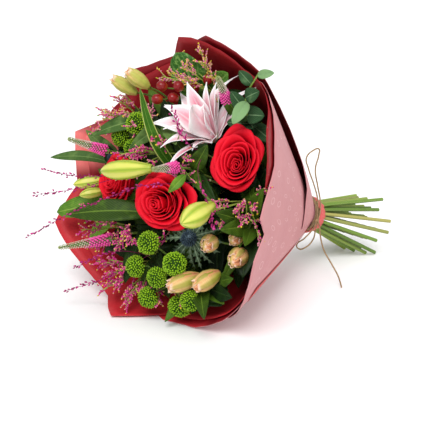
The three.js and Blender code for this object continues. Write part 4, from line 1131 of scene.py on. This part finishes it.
LILY = lily_finish()
LILY_SEAT = at(34, 66, 239)
LILY_AXIS = at(-0.02, 0.45, 0.89)
LILY_THICKNESS = 0.6
LILY_PETALS = [
    dict(bearing=122, opening=25, length=84, width=27, curl=0.02, pink=0.75),
    dict(bearing=84, opening=29, length=80, width=19, curl=0.02, pink=0.5),
    dict(bearing=72, opening=35, length=80, width=20, curl=0.02, pink=0.3),
    dict(bearing=7, opening=6, length=76, width=34, curl=0.04, pink=0.1),
    dict(bearing=60, opening=14, length=62, width=26, curl=0.05, pink=0.35),
    dict(bearing=195, opening=21, length=82, width=32, curl=0.03, pink=0.45),
    dict(bearing=180, opening=30, length=80, width=26, curl=0.05, pink=0.3),
    dict(bearing=203, opening=42, length=88, width=24, curl=0.10, pink=0.2),
    dict(bearing=244, opening=28, length=78, width=17, curl=0.03, pink=0.3),
    dict(bearing=258, opening=41, length=82, width=20, curl=0.04, pink=0.5),
    dict(bearing=288, opening=46, length=52, width=16, curl=0.04, pink=0.1),
    dict(bearing=270, opening=55, length=84, width=18, curl=0.06, pink=1),
    dict(bearing=33, opening=58, length=60, width=27, curl=0.06, pink=0.35),
    dict(bearing=78, opening=46, length=86, width=18, curl=0.16, pink=0),
    dict(bearing=60, opening=57, length=84, width=20, curl=0.18, pink=0),
    dict(bearing=325, opening=48, length=38, width=18, curl=0.03, pink=0.5),
    dict(bearing=150, opening=48, length=80, width=24, curl=0.10, pink=0.3),
]


def lily_petal(shape, ruffle):
    """A petal that rises and then leans out, with its tip curled back and its edges ruffled"""
    length = shape["length"]
    turn = Quaternion((0, 0, 1), math.radians(shape["bearing"]))
    lean = math.radians(shape["opening"])
    out, up = length * math.sin(lean), length * math.cos(lean)

    def surface(s, t):
        full = (0.22 + 0.78 * smooth(0.05, 0.45, t)) * (1 - smooth(0.5, 1.05, t))
        half = max(0.5, shape["width"] / 2 * full)
        begin, rising, bending = (1 - t) ** 3, 3 * t * (1 - t) ** 2, 3 * t * t * (1 - t)
        rolled = max(0, t - 0.6) / 0.4
        reach = 3 * begin + (3 + 0.16 * out) * rising + 0.62 * out * bending + out * t ** 3
        raised = 0.34 * up * rising + 0.80 * up * bending + up * t ** 3
        reach += length * shape["curl"] * rolled ** 2
        raised -= length * shape["curl"] * 1.4 * rolled ** 2
        cup = 0.26 * half * s * s - 0.10 * half * math.exp(-(s * 4) ** 2)
        cup += half * abs(s) * 0.15 * math.sin(9 * t + ruffle + 1.5 * s)
        sideways = s * half + 3 * math.sin(ruffle) * math.sin(3 * t)
        return turn @ at(reach - cup * 0.7, sideways, raised + cup * 0.7)

    return surface


dice = random.Random(5)
parts = []
for shape in LILY_PETALS:
    petal = blade_on(lily_petal(shape, 6 * dice.random()), 10, 22, LILY, shape["pink"], LILY_THICKNESS)
    parts.append(aimed(petal, LILY_SEAT, LILY_AXIS))
throat = stalk([at(0, 0, 0), at(0, 0, 8), at(0, 0, 18)], [3.5, 5, 5], 0.5, sides=6, steps=8, material=LILY)
parts.append(aimed(throat, LILY_SEAT, LILY_AXIS))
placed("lily_petals", parts, "lily_pink", "lily_bloom")


# Lily buds: smooth, six-ribbed and yellow-green, with a darker seam where two petals meet. They stand on the
# shoots of their own stems, and the double bloom ends a third one. A bud has its foot, tip and radius.
BUD_RIBS = 6


def bud_finish():
    paint = Paint("lily_buds")
    ribs = (paint.across() * BUD_RIBS * 2 * math.pi).cosine() * 0.5 + 0.5
    seam = paint.step(ribs, 0.86, 1)
    soft = paint.speckle(70, 2)
    skin = paint.mix(paint.step(ribs + soft * 0.4, 0.3, 1.2), (0.66, 0.64, 0.13), (0.40, 0.48, 0.045))
    skin = paint.mix(1 - paint.step(paint.along(), 0, 0.25), skin, (0.36, 0.44, 0.05))
    tone = paint.mix(seam * 0.55, skin, (0.22, 0.34, 0.03))
    return paint.finish(tone, 0.32, seam * -1 + soft * 0.3, 0.4, Subsurface_Weight=0.1)


BUD_SKIN = bud_finish()
BUD_OUTLINE = [
    (0, 0.30), (0.04, 0.42), (0.18, 0.62), (0.4, 0.92), (0.6, 1), (0.76, 0.88), (0.88, 0.62), (0.96, 0.3),
    (1, 0.04),
]
BUD_WALL = 0.4


def lily_bud(foot, tip, radius):
    """A closed bud: its petals' ribs stand out, and the seams lie between them"""
    length = (tip - foot).length

    def surface(s, t):
        turn = 2 * math.pi * s
        rib = 0.05 * math.cos(BUD_RIBS * turn) * math.sin(math.pi * t)
        reach = radius * value_at(BUD_OUTLINE, t) * (1 + rib)
        return at(reach * math.cos(turn), reach * math.sin(turn), length * t)

    bud = paint_all(grid_on(48, 26, surface), BUD_SKIN)
    modified(bud, "WELD", merge_threshold=0.01)
    modified(bud, "SOLIDIFY", thickness=BUD_WALL, offset=-1)
    return aimed(shaded(bud, 0.5), foot, tip - foot)


BUDS = {
    "lily_bud_upper": (at(20, 16, 319), at(-54, -3, 334), 12.5),
    "lily_bud_right": (at(112, -8, 298), at(118, -36, 348), 13.5),
    "lily_bud_left": (at(-111, -14, 269), at(-139, -31, 301), 8.5),
    "lily_bud_small": (at(-106, -28, 271), at(-122, -42, 301), 7),
}
# A shoot has its bud, its radius, its bend and its tint. A leaf has its foot, tip, width, facing and finish.
LILY_STEMS = {
    "lily_tall": dict(
        # The shoot to the right bud has the darkest green tint: painted shade.
        shoots=[("lily_bud_upper", 2, -0.1, 0.1), ("lily_bud_right", 2, 0.03, 0)],
        leaves=[
            (at(2, 20, 258), at(-34, 74, 300), 22, at(0.5, 0, 0.8), LEAF_DEEP),
            (at(1.8, 19.4, 240), at(-30, -40, 262), 20, at(0.3, 0.2, 1), LEAF_DEEP),
        ],
    ),
    "lily_right": dict(
        shoots=[],
        leaves=[
            (at(26, 60, 190), at(40, 38, 236), 20, at(0.6, 0.2, 0.8), LEAF_DEEP),
            (at(28, 64, 205), at(50, 106, 248), 18, at(-0.3, 0, 1), LEAF_DEEP),
        ],
    ),
    "lily_left": dict(
        shoots=[("lily_bud_left", 1.4, 0, 0.1), ("lily_bud_small", 1.3, 0, 0.1)],
        leaves=[(at(-103, -16.7, 245), at(-136, -4, 268), 16, at(0.2, 0.2, 1), LEAF_FRESH)],
    ),
}
for name, (foot, tip, radius) in BUDS.items():
    placed(name + "_skin", [lily_bud(foot, tip, radius)], "bud_green", name)
for name, growth in LILY_STEMS.items():
    hub = STEMS[name][0]
    parts = [main_stem(name)]
    if name == "lily_right":
        parts.append(stalk([hub, LILY_SEAT], [2.6, 3.4], 0.4))
    for bud, radius, bend, tint in growth["shoots"]:
        parts.append(shoot(hub, BUDS[bud][0], radius, bend, tint))
    parts += [leaf(*settings) for settings in growth["leaves"]]
    parts += undergrowth(name, 6)
    placed(name + "_greens", parts, "stem_green", SOLIDS[name])


# Button chrysanthemums: dense balls of small lime florets on wiry twigs, seven in the front spray and three
# in the back one. One head is made, its florets laid round it in a spiral, and the others are its copies.
def lime_finish():
    paint = Paint("lime_florets")
    along = paint.along()
    # Painted shade darkens each floret towards its foot, in the gaps between florets, and a painted
    # highlight lightens its tip.
    tone = paint.mix(paint.step(along, 0.45, 0.9), (0.030, 0.080, 0.002), (0.25, 0.46, 0.010))
    tone = paint.mix(paint.step(along, 0.8, 1) * 0.7, tone, (0.52, 0.72, 0.03))
    tone = paint.mix(paint.shade() * 0.3, tone, (0.14, 0.32, 0.004))
    return paint.finish(tone, 0.6, paint.speckle(900, 2), 0.2)


LIME = lime_finish()
# A near-black green for the ball under the florets: painted shade in the gaps between them.
LIME_GAP_SHADE = Paint("lime_gap_shade").finish((0.015, 0.055, 0.002), 0.8)
GOLDEN_TURN = math.pi * (3 - math.sqrt(5))


def copy_of(model):
    """A copy with its own mesh"""
    copy = model.copy()
    copy.data = model.data.copy()
    bpy.context.collection.objects.link(copy)
    return copy


def copies(model, spots):
    """Copies of a modelled part, made one. A spot is a foot, a way, a size and a tint."""
    made = []
    for foot, way, size, tint in spots:
        copy = copy_of(model)
        turn = way.to_track_quat("Z", "Y")
        copy.data.transform(Matrix.LocRotScale(foot, turn, Vector((size, size, size))))
        made.append(shaded(copy, tint))
    bpy.data.objects.remove(model)
    return joined("copies", made)


def anywhere(dice, reach=1):
    """A random way, up to a reach along each axis"""
    return Vector([dice.uniform(-reach, reach) for _ in range(3)])


BUTTON_FLORETS = 190
FLORET_SHAPE = (1.45, 1.0, 2.6, 1)


def button_model(radius):
    """One flower head: florets all over a ball, smaller and tighter round its crown"""
    dice = random.Random(3)
    spots = []
    for k in range(BUTTON_FLORETS):
        height = 1 - 1.66 * (k + 0.5) / BUTTON_FLORETS
        ring = math.sqrt(max(0, 1 - height * height))
        turn = GOLDEN_TURN * k
        way = at(ring * math.cos(turn), ring * math.sin(turn), height)
        way += anywhere(dice, 0.06)
        size = (0.7 + 0.4 * min(1, ring * 1.2)) * dice.uniform(0.8, 1.25)
        foot = way * (radius - 2.8 * size)
        foot.z *= 0.86
        spots.append((foot, way + at(0, 0, 0.25), size, 0.5 * max(0, height) + 0.5 * dice.random()))
    floret = added(bpy.ops.mesh.primitive_uv_sphere_add, LIME, segments=7, ring_count=5, radius=1)
    floret.data.transform(Matrix.Diagonal(FLORET_SHAPE))
    florets = copies(floret, spots)
    ball = added(bpy.ops.mesh.primitive_ico_sphere_add, LIME_GAP_SHADE, subdivisions=3, radius=radius - 2.9)
    ball.data.transform(Matrix.Diagonal((1, 1, 0.84, 1)))
    return joined("button", [florets, shaded(ball, 1)])


BUTTONS = {
    "chrysanthemum_front": [
        at(17, -74, 294), at(-7, -108, 283), at(30, -113, 279), at(58, -90, 283), at(11, -142, 267),
        at(78, -129, 262), at(54, -141, 253),
    ],
    "chrysanthemum_back": [at(-57, 65, 291), at(-93, 45, 280), at(-66, 33, 279)],
}
BUTTON_RADIUS = 15.4
button = button_model(BUTTON_RADIUS)
for name, heads in BUTTONS.items():
    hub = STEMS[name][0]
    parts = [main_stem(name)]
    for k, head in enumerate(heads):
        size = 1 - 0.05 * (k % 3)
        copy = copy_of(button)
        copy.data.transform(Matrix.Rotation(2.3 * k, 4, "Z") @ Matrix.Scale(size, 4))
        parts.append(aimed(copy, head, head - hub))
        parts.append(shoot(hub, head.lerp(hub, 0.12), 1.3))
    parts += undergrowth(name, 14, 80, 26, 0.55, over=40)
    placed(name + "_florets", parts, "lime", name)
bpy.data.objects.remove(button)


# Eryngium: a blue cone of stiff spines above a star of grey-green bracts, which are long, narrow and
# toothed, with a neck of bare stem below. The bracts reach out from 1.3 to 1.8 times a thistle's size.
def thistle_finish(name, dark, pale, vein):
    paint = Paint(name)
    blotch = paint.speckle(200, 3)
    tone = paint.mix(blotch * 0.4 + paint.shade() * 0.6, dark, pale)
    tone = paint.mix((1 - paint.step(paint.aside(), 0.02, 0.12)) * 0.7, tone, vein)
    return paint.finish(tone, 0.6, blotch, 0.4)


BRACT = thistle_finish("thistle_bracts", (0.020, 0.045, 0.024), (0.10, 0.15, 0.080), (0.26, 0.33, 0.22))
CONE = thistle_finish("thistle_cone", (0.010, 0.020, 0.034), (0.06, 0.10, 0.13), (0.20, 0.28, 0.34))
ERYNGIUMS = {
    "eryngium_front": dict(axis=at(0.2, -0.25, 0.93), neck=11, size=29, bracts=15),
    "eryngium_left": dict(axis=at(-0.66, 0.22, 0.72), neck=22, size=18, bracts=12),
}
SPINES = 150
CONE_MIDDLE = 0.34


def bract_surface(size, reach, bearing, low, lobes):
    """A long narrow bract that ends in a spine, with teeth that lean towards its tip"""
    turn = Quaternion((0, 0, 1), bearing)

    def surface(s, t):
        tooth = (1 - (t * lobes) % 1) ** 1.5
        narrow = math.sin(math.pi * (0.16 + 0.84 * min(t, 1))) ** 0.8
        half = max(0.3, size * (0.045 + 0.15 * tooth) * narrow)
        forward = 6 * abs(s) * tooth * narrow
        bend = 2.5 * math.sin(3 * t + 5 * bearing) * t
        raised = size * (0.1 + 0.42 * t - (0.5 + low) * t * t) + 0.2 * half * abs(s)
        return turn @ at(1.5 + reach * t + forward, s * half + bend, raised)

    return surface


def spiny_cone(size):
    """Stiff spines all over a core, each a narrow cone"""
    dice = random.Random(4)
    spots = []
    for k in range(SPINES):
        height = 1 - 1.7 * (k + 0.5) / SPINES
        ring = math.sqrt(1 - height * height)
        way = at(ring * math.cos(GOLDEN_TURN * k), ring * math.sin(GOLDEN_TURN * k), height)
        foot = at(way.x, way.y, way.z * 1.3) * size * 0.24 + at(0, 0, size * CONE_MIDDLE)
        spots.append((foot, way + at(0, 0, 0.3), size * 0.04 * dice.uniform(0.8, 1.2), dice.random()))
    spine = added(
        bpy.ops.mesh.primitive_cone_add, CONE,
        vertices=5, radius1=1, radius2=0, depth=4, location=(0, 0, 1.6),
    )
    spines = copies(spine, spots)
    core = added(bpy.ops.mesh.primitive_ico_sphere_add, CONE, subdivisions=3, radius=size * 0.25)
    core.data.transform(Matrix.Translation((0, 0, size * CONE_MIDDLE)) @ Matrix.Diagonal((1, 1, 1.3, 1)))
    return joined("spiny_cone", [spines, shaded(core, 0)])


for name, shape in ERYNGIUMS.items():
    dice = random.Random(9)
    size = shape["size"]
    hub = STEMS[name][0]
    seat = hub + shape["axis"] * shape["neck"]
    parts = [aimed(spiny_cone(size), seat, shape["axis"])]
    for k in range(shape["bracts"]):
        bearing = 2 * math.pi * (k + 0.25 * dice.random()) / shape["bracts"]
        reach = size * (1.3 + 0.5 * dice.random())
        surface = bract_surface(size, reach, bearing, 0.3 * (k % 2), 5 + k % 2)
        parts.append(aimed(blade_on(surface, 4, 40, BRACT, dice.random()), seat, shape["axis"]))
    parts.append(main_stem(name))
    parts.append(stalk([hub, seat + shape["axis"] * 4], [1.6, 1.6], 0.2))
    parts += undergrowth(name, 7, 70, 22, over=10)
    placed(name + "_thistle", parts, "thistle", name)


# Alstroemeria: half-open flowers of six petals folded round each other, peach with green ribs and fine dark
# lines. Each stands on its own shoot, and has its foot, its tip and its radius.
def peach_finish():
    paint = Paint("peach_petals")
    aside = paint.aside() * 2
    along = paint.along()
    streak = paint.speckle(240, 2)
    body = paint.mix(paint.step(along, 0.1, 0.8), (0.42, 0.40, 0.07), (0.76, 0.48, 0.20))
    body = paint.mix(paint.step(aside + streak * 0.3, 0.5, 1.05), body, (0.72, 0.31, 0.15))
    rib = 1 - paint.step(aside, 0.12, 0.42)
    tone = paint.mix(rib * (1 - along * 0.4) * 0.9, body, (0.22, 0.28, 0.02))
    lines = paint.step(((paint.across() + streak * 0.02) * 110).sine(), 0.3, 1)
    tone = paint.mix(lines * 0.55, tone, (0.34, 0.16, 0.03))
    tone = paint.mix(paint.step(paint.shade(), 0.5, 1) * 0.75, tone, (0.42, 0.44, 0.08))
    tone = paint.mix(paint.step(aside, 0.84, 0.97) * 0.6, tone, (0.42, 0.13, 0.06))
    tone = paint.mix(paint.step(along, 0.86, 1) * 0.8, tone, (0.88, 0.62, 0.50))
    freckles = paint.step(streak, 0.62, 0.7) * paint.step(along, 0.7, 0.9)
    tone = paint.mix(freckles * 0.5, tone, (0.45, 0.10, 0.06))
    return paint.finish(tone, 0.5, streak + rib, 0.35, Subsurface_Weight=0.04)


PEACH = peach_finish()
FLOWER_OUTLINE = [(0, 0.25), (0.06, 0.42), (0.25, 0.82), (0.5, 1.04), (0.72, 1), (0.9, 0.78), (1, 0.72)]
FLOWERETS = {
    "alstroemeria_right": [
        (at(92, -50, 262), at(108, -58, 290), 9.5),
        (at(120, -56, 236), at(136, -68, 268), 10.5),
        (at(112, -36, 236), at(124, -44, 264), 9),
    ],
    "alstroemeria_front": [
        (at(82, -96, 258), at(58, -120, 286), 10.5),
        (at(103, -86, 250), at(92, -111, 276), 10.5),
    ],
    "alstroemeria_top": [
        (at(-72, 102, 288), at(-100, 114, 312), 8),
        (at(-50, 112, 290), at(-70, 126, 317), 8.5),
    ],
}


def folded_petal(length, radius, bearing, inner, phase):
    """Three broad petals wrap three narrower ones, whose crumpled ends stand out of the mouth"""
    half = math.radians(50 if inner else 60)

    def surface(s, t):
        reach = radius * (value_at(FLOWER_OUTLINE, t) - 0.06 * inner) * (0.94 + 0.16 * (1 - s * s))
        frill = smooth(0.8, 1, t) * math.sin(7 * s + phase) * (0.6 + inner)
        reach += radius * (0.14 * frill - 0.36 * inner * smooth(0.8, 1, t))
        angle = bearing + s * half * (1 - 0.25 * smooth(0.7, 1, t))
        rise = length * t * (1 - 0.12 * s * s) * (0.95 + 0.05 * inner) + 0.8 * frill
        return at(reach * math.cos(angle), reach * math.sin(angle), rise)

    return surface


def crumpled_heart(length, radius, phase):
    """The petals' ends that are still furled together in the mouth, as one creased ball"""

    def surface(s, t):
        angle, polar = 2 * math.pi * s, math.pi * t
        crease = math.sin(5 * angle + 2 * math.sin(2 * polar + phase)) * math.sin(polar)
        reach = radius * 0.70 * (1 + 0.13 * crease)
        height = length * 0.84 - reach * 0.9 * math.cos(polar)
        ring = reach * math.sin(polar)
        return at(ring * math.cos(angle), ring * math.sin(angle), height)

    return surface


def floweret(foot, tip, radius, green, seed):
    """One flower: six petals, every second one of them inside, and the furled heart in its mouth"""
    dice = random.Random(seed)
    length = (tip - foot).length
    parts = []
    for k in range(6):
        inner = k % 2
        bearing = math.pi * k / 3 + 0.1 * dice.random()
        surface = folded_petal(length, radius, bearing, inner, 6 * dice.random())
        tint = green * (0.7 + 0.3 * dice.random())
        parts.append(aimed(blade_on(surface, 12, 16, PEACH, tint), foot, tip - foot))
    heart = grid_on(40, 20, crumpled_heart(length, radius, seed))
    modified(paint_all(heart, PEACH), "WELD", merge_threshold=0.01)
    parts.append(aimed(shaded(heart, 0.1), foot, tip - foot))
    return parts


for number, (name, flowers) in enumerate(FLOWERETS.items()):
    hub = STEMS[name][0]
    parts = [main_stem(name)]
    for k, (foot, tip, radius) in enumerate(flowers):
        green = 1 if name == "alstroemeria_top" else 0.3
        parts += floweret(foot, tip, radius, green, 10 * number + k)
        parts.append(shoot(hub, foot.lerp(tip, 0.1), 1.3))
    parts += undergrowth(name, 6, 60, 18)
    placed(name + "_flowers", parts, "peach", name)


# Veronica: tapering spikes of tiny florets laid in a spiral, open and magenta at the foot, grey-white buds
# above and green at the tip. A spike's two places are its foot and its tip.
def veronica_finish():
    paint = Paint("veronica_florets")
    tone = paint.ramp(
        paint.shade(),
        [
            (0, (0.70, 0.02, 0.28)), (0.33, (0.78, 0.06, 0.36)), (0.42, (0.64, 0.52, 0.45)),
            (0.75, (0.44, 0.45, 0.28)), (1, (0.24, 0.32, 0.06)),
        ],
    )
    fine = paint.speckle(800, 2)
    return paint.finish(paint.mix(fine * 0.15, tone, (0.72, 0.66, 0.62)), 0.65, fine, 0.2)


VERONICA = veronica_finish()
SPIKES = {
    "veronica_upper": (at(-86, 22, 300), at(-126, 26, 338)),
    "veronica_lower": (at(-52, -84, 292), at(-108, -112, 328)),
    "veronica_centre": (at(51, 25, 306), at(44, 15, 341)),
    "veronica_right": (at(77, 112, 277), at(80, 138, 308)),
}
SPIKE_RADIUS = 8.6
SPIKE_FLORETS = 230
OPEN_SHARE = 0.36


def bud_copies(spots, material, stretch):
    """Small buds, each a copy of one rounded model that is longer than it is wide"""
    model = added(bpy.ops.mesh.primitive_ico_sphere_add, material, subdivisions=1, radius=1)
    model.data.transform(Matrix.Translation((0, 0, stretch)) @ Matrix.Diagonal((1, 1, stretch, 1)))
    return copies(model, spots)


def spike_spots(foot, tip):
    """The places of a spike's florets, which are larger where they are open"""
    dice = random.Random(int(foot.x))
    run = tip - foot
    turn = Vector((0, 0, 1)).rotation_difference(run.normalized())
    spots = []
    for k in range(SPIKE_FLORETS):
        share = k / SPIKE_FLORETS
        swell = SPIKE_RADIUS * (1 - 0.5 * share) * (1 - smooth(0.9, 1.1, share))
        way = turn @ at(math.cos(GOLDEN_TURN * k), math.sin(GOLDEN_TURN * k), 0.35 + 0.9 * share)
        middle = foot + run * (0.02 + 0.95 * share)
        opened = 1.5 if share < OPEN_SHARE else 0.9
        size = opened * (1 - 0.3 * share) * dice.uniform(0.75, 1.15)
        tint = min(1, max(0, share + 0.1 * (dice.random() - 0.5)))
        spots.append((middle + way.normalized() * (swell - 2.6 * size), way, size, tint))
    return spots


# Leaves that show beside a spike: foot, tip, width and finish
SPIKE_LEAVES = {
    "veronica_centre": [
        (at(48, 24, 280), at(76, 58, 294), 20, LEAF_DEEP),
        (at(66, 18, 308), at(62, -7, 325), 12, LEAF_FRESH),
        (at(48, 24, 280), at(81, 3, 292), 13, LEAF_DEEP),
    ],
}
for name, (foot, tip) in SPIKES.items():
    hub = STEMS[name][0]
    parts = [bud_copies(spike_spots(foot, tip), VERONICA, 1.5)]
    for start, end, width, finish in SPIKE_LEAVES.get(name, []):
        parts.append(leaf(start, end, width, at(0.7, 0, 0.7), finish, arch=0.08))
        parts.append(shoot(hub, start + (end - start) * 0.06, 0.9))
    parts.append(main_stem(name))
    parts.append(stalk([foot, foot.lerp(tip, 0.6), foot.lerp(tip, 0.96)], [3.4, 2.8, 0.8], 0, sides=3))
    parts.append(shoot(hub, foot.lerp(tip, 0.1), 1.3))
    parts += undergrowth(name, 8, 66, 20, over=24)
    placed(name + "_spike", parts, "veronica", name)


# Hypericum: six glossy berries, dark red to orange, each in five small green sepals on its own shoot of one
# woody stem. A berry's place is its middle.
def berry_finish():
    paint = Paint("red_berries")
    along = paint.along()
    soft = paint.speckle(90, 2)
    tone = paint.mix(paint.step(along + soft * 0.5, 0.35, 0.85), (0.55, 0.12, 0.012), (0.20, 0.004, 0.006))
    tone = paint.mix(paint.shade() * 0.6, tone, (0.26, 0.005, 0.008))
    return paint.finish(tone, 0.3, soft, 0.1, Specular_IOR_Level=0.35)


BERRY = berry_finish()
BERRIES = [
    at(-29, 117, 290), at(-8, 121, 282), at(-1, 124, 262), at(12, 138, 255), at(-34, 100, 288),
    at(-18, 106, 277),
]
BERRY_RADIUS = 6.6
SEPALS = 5
hub = STEMS["hypericum_spray"][0]
parts = [main_stem("hypericum_spray")]
for k, centre in enumerate(BERRIES):
    berry = added(
        bpy.ops.mesh.primitive_uv_sphere_add, BERRY, segments=24, ring_count=16, radius=BERRY_RADIUS,
    )
    berry.data.transform(Matrix.Diagonal((1, 1, 1.12, 1)))
    way = centre - hub
    parts.append(aimed(shaded(berry, k / len(BERRIES)), centre, way))
    for number in range(SEPALS):
        turn = Quaternion((0, 0, 1), 2 * math.pi * number / SEPALS)
        sepal = leaf(
            turn @ at(0.6, 0, -6.4), turn @ at(5.4, 0, -3.4), 3.4, turn @ at(-0.5, 0, 1), LEAF_FRESH,
            arch=-0.1,
        )
        parts.append(aimed(sepal, centre, way))
    parts.append(shoot(hub, centre - way.normalized() * 5.5, 1))
parts += undergrowth("hypericum_spray", 6, 60, 20)
placed("hypericum_berries", parts, "berry_red", "hypericum_spray")


# Fillers: sprays of fine twigs with side twigs, tiny pink buds along them and yellow specks at their ends.
# Each spray has the tips of its twigs, and the range of tints of its buds.
def tiny_bud_finish(name, stops):
    """Buds and seeds whose colour runs through stops with the tint of each"""
    paint = Paint(name)
    return paint.finish(paint.ramp(paint.shade(), stops), 0.7, paint.speckle(900, 2), 0.2)


TINY_BUDS = tiny_bud_finish(
    "filler_buds",
    [
        (0, (0.50, 0.012, 0.19)), (0.4, (0.66, 0.05, 0.27)), (0.7, (0.70, 0.28, 0.36)),
        (0.86, (0.66, 0.48, 0.03)), (1, (0.22, 0.32, 0.04)),
    ],
)
FILLERS = {
    "filler_top": [
        at(0, 172, 270), at(-10, 146, 284), at(18, 156, 278), at(-30, 156, 266), at(34, 142, 272),
        at(-22, 132, 290), at(8, 130, 292), at(40, 116, 262), at(-44, 130, 280),
    ],
    "filler_upper_left": [
        at(-104, 92, 296), at(-98, 68, 306), at(-120, 70, 290), at(-90, 96, 290), at(-124, 62, 290),
        at(-136, 70, 284), at(-70, 76, 306), at(-112, 46, 304), at(-140, 40, 290), at(-28, 80, 300),
        at(-46, 60, 312),
    ],
    "filler_centre": [
        at(-20, 34, 318), at(-4, 48, 312), at(-36, 22, 304), at(-28, 34, 300), at(14, 50, 308),
        at(60, 36, 300), at(4, 10, 308), at(-60, 22, 306), at(40, -2, 296), at(-34, -6, 310),
        at(66, 14, 296),
    ],
    "filler_right": [
        at(138, 0, 282), at(146, -22, 278), at(153, 24, 260), at(104, -16, 292), at(134, -12, 284),
        at(152, 0, 274), at(158, -32, 260), at(112, -30, 282), at(96, -6, 286), at(86, -20, 290),
    ],
    "filler_left": [
        at(-104, -84, 300), at(-84, -64, 306), at(-70, -96, 296), at(-102, -68, 300), at(-74, -90, 292),
        at(-38, -88, 292), at(-122, -60, 290), at(-56, -64, 302), at(-92, -104, 286), at(-20, -70, 300),
        at(-50, -80, 298), at(-29, -85, 296), at(-5, -76, 300), at(-24, -66, 300), at(-40, -95, 292),
    ],
    "filler_front": [
        at(-50, -150, 290), at(-76, -118, 288), at(-22, -160, 272), at(-50, -142, 276), at(-26, -154, 270),
        at(2, -138, 274), at(28, -146, 260), at(-4, -76, 296), at(36, -54, 290), at(-60, -112, 282),
        at(64, -128, 262), at(-34, -120, 284), at(-70, -118, 288), at(-53, -129, 284), at(-38, -138, 278),
        at(-54, -145, 284), at(-31, -149, 268), at(-20, -112, 284),
    ],
}
FILLER_TINTS = {
    "filler_top": (0.45, 0.95), "filler_upper_left": (0.3, 0.85), "filler_centre": (0, 0.7),
    "filler_right": (0.1, 0.85), "filler_left": (0.05, 0.6), "filler_front": (0, 0.5),
}
SIDE_TWIGS = 10
TWIG_BUDS = 8
TWIG_RADII = [1, 0.8, 0.4]


def filler_twigs(hub, tips, tints, dice):
    """The twigs of one spray as curves, and the places of its buds"""
    spray = line([hub, hub.lerp(tips[0], 0.5), tips[0]], TWIG_RADII, sides=1, steps=5)
    spots = []
    outward = Vector((hub.x, hub.y, 0)).normalized()
    for k, tip in enumerate(tips):
        reach = (tip - hub).length
        middle = hub.lerp(tip, 0.5) + outward * reach * 0.05
        if k:
            add_spline(spray.data, [hub, middle, tip], TWIG_RADII)
        for side in range(SIDE_TWIGS):
            start = middle.lerp(tip, 0.96 * side / SIDE_TWIGS)
            way = anywhere(dice) + (tip - hub).normalized() * 1.3
            end = start + way.normalized() * reach * dice.uniform(0.10, 0.22)
            add_spline(spray.data, [start, start.lerp(end, 0.5), end], [0.45, 0.4, 0.25])
            for bud in range(TWIG_BUDS):
                place = start.lerp(end, 0.25 + 0.75 * bud / (TWIG_BUDS - 1))
                drift = anywhere(dice)
                tint = dice.uniform(*tints) if bud < TWIG_BUDS - 1 else dice.uniform(0.7, 1)
                spots.append((place, way.normalized() + drift * 0.8, dice.uniform(0.75, 1.2), tint))
    return spray, spots


for name, tips in FILLERS.items():
    hub = STEMS[name][0]
    spray, spots = filler_twigs(hub, tips, FILLER_TINTS[name], random.Random(name))
    parts = [shaded(paint_all(meshed(spray), STEM_GREENS), 0.55), main_stem(name)]
    parts.append(bud_copies(spots, TINY_BUDS, 1.4))
    parts += undergrowth(name, 18 if hub.y < -50 else 12, 78, 24, 0.55, over=36)
    placed(name + "_twigs", parts, "filler_pink", name)


# Dyed grass: thread-like stalks with small long seeds along them, magenta all over. Each stalk has its
# points, how many seeds it carries, and the share of its length where they start.
GRASS = tiny_bud_finish(
    "magenta_grass", [(0, (0.16, 0.004, 0.06)), (0.5, (0.34, 0.012, 0.13)), (1, (0.55, 0.05, 0.25))],
)
PLUMES = {
    "grass_long": [
        ([at(62, 5, 316), at(40, -3, 336), at(0, -26, 352), at(-52, -66, 376), at(-90, -104, 396)], 64, 0.3),
    ],
    "grass_left": [
        ([at(-89, -30, 330), at(-151, -55, 352)], 32, 0.4),
        ([at(-79, -14, 330), at(-147, -20, 352)], 32, 0.4),
    ],
    "grass_low": [
        ([at(-46, -130, 286), at(-104, -166, 304)], 36, 0.45),
        ([at(-30, -96, 300), at(-76, -130, 322)], 30, 0.5),
    ],
    "grass_lily": [
        ([at(66, 58, 322), at(44, 90, 334)], 40, 0.4),
        ([at(88, 22, 310), at(122, -14, 312), at(130, -34, 308)], 40, 0.4),
    ],
}


def places_along(points, count, start):
    """Even places along a smooth line, with the way it runs there"""
    curve = line(points, [1] * len(points), steps=16)
    curve.data.bevel_depth = 0
    mesh = meshed(curve)
    knots = [vertex.co.copy() for vertex in mesh.data.vertices]
    bpy.data.objects.remove(mesh)
    found = []
    for k in range(count):
        place = (start + (1 - start) * k / count) * (len(knots) - 1)
        index = min(int(place), len(knots) - 2)
        before, after = knots[index], knots[index + 1]
        found.append((before.lerp(after, place - index), (after - before).normalized()))
    return found


for name, plumes in PLUMES.items():
    dice = random.Random(name)
    parts = [main_stem(name)]
    spots = []
    for through, seeds, start in plumes:
        points = [STEMS[name][0], *through]
        radii = [0.6] + [0.3] * (len(points) - 2) + [0.22]
        parts.append(stalk(points, radii, 0, sides=1, material=GRASS))
        for place, way in places_along(points, seeds, start):
            drift = anywhere(dice) * 0.55
            foot = place + drift * dice.uniform(0, 5)
            spots.append((foot, way + drift, dice.uniform(0.8, 1.25), dice.random()))
    parts.append(bud_copies(spots, GRASS, 2))
    if name in ("grass_low", "grass_left"):
        parts += undergrowth(name, 14, 84, 26, 0.5, over=10)
    placed(name + "_plume", parts, "grass_magenta", name)
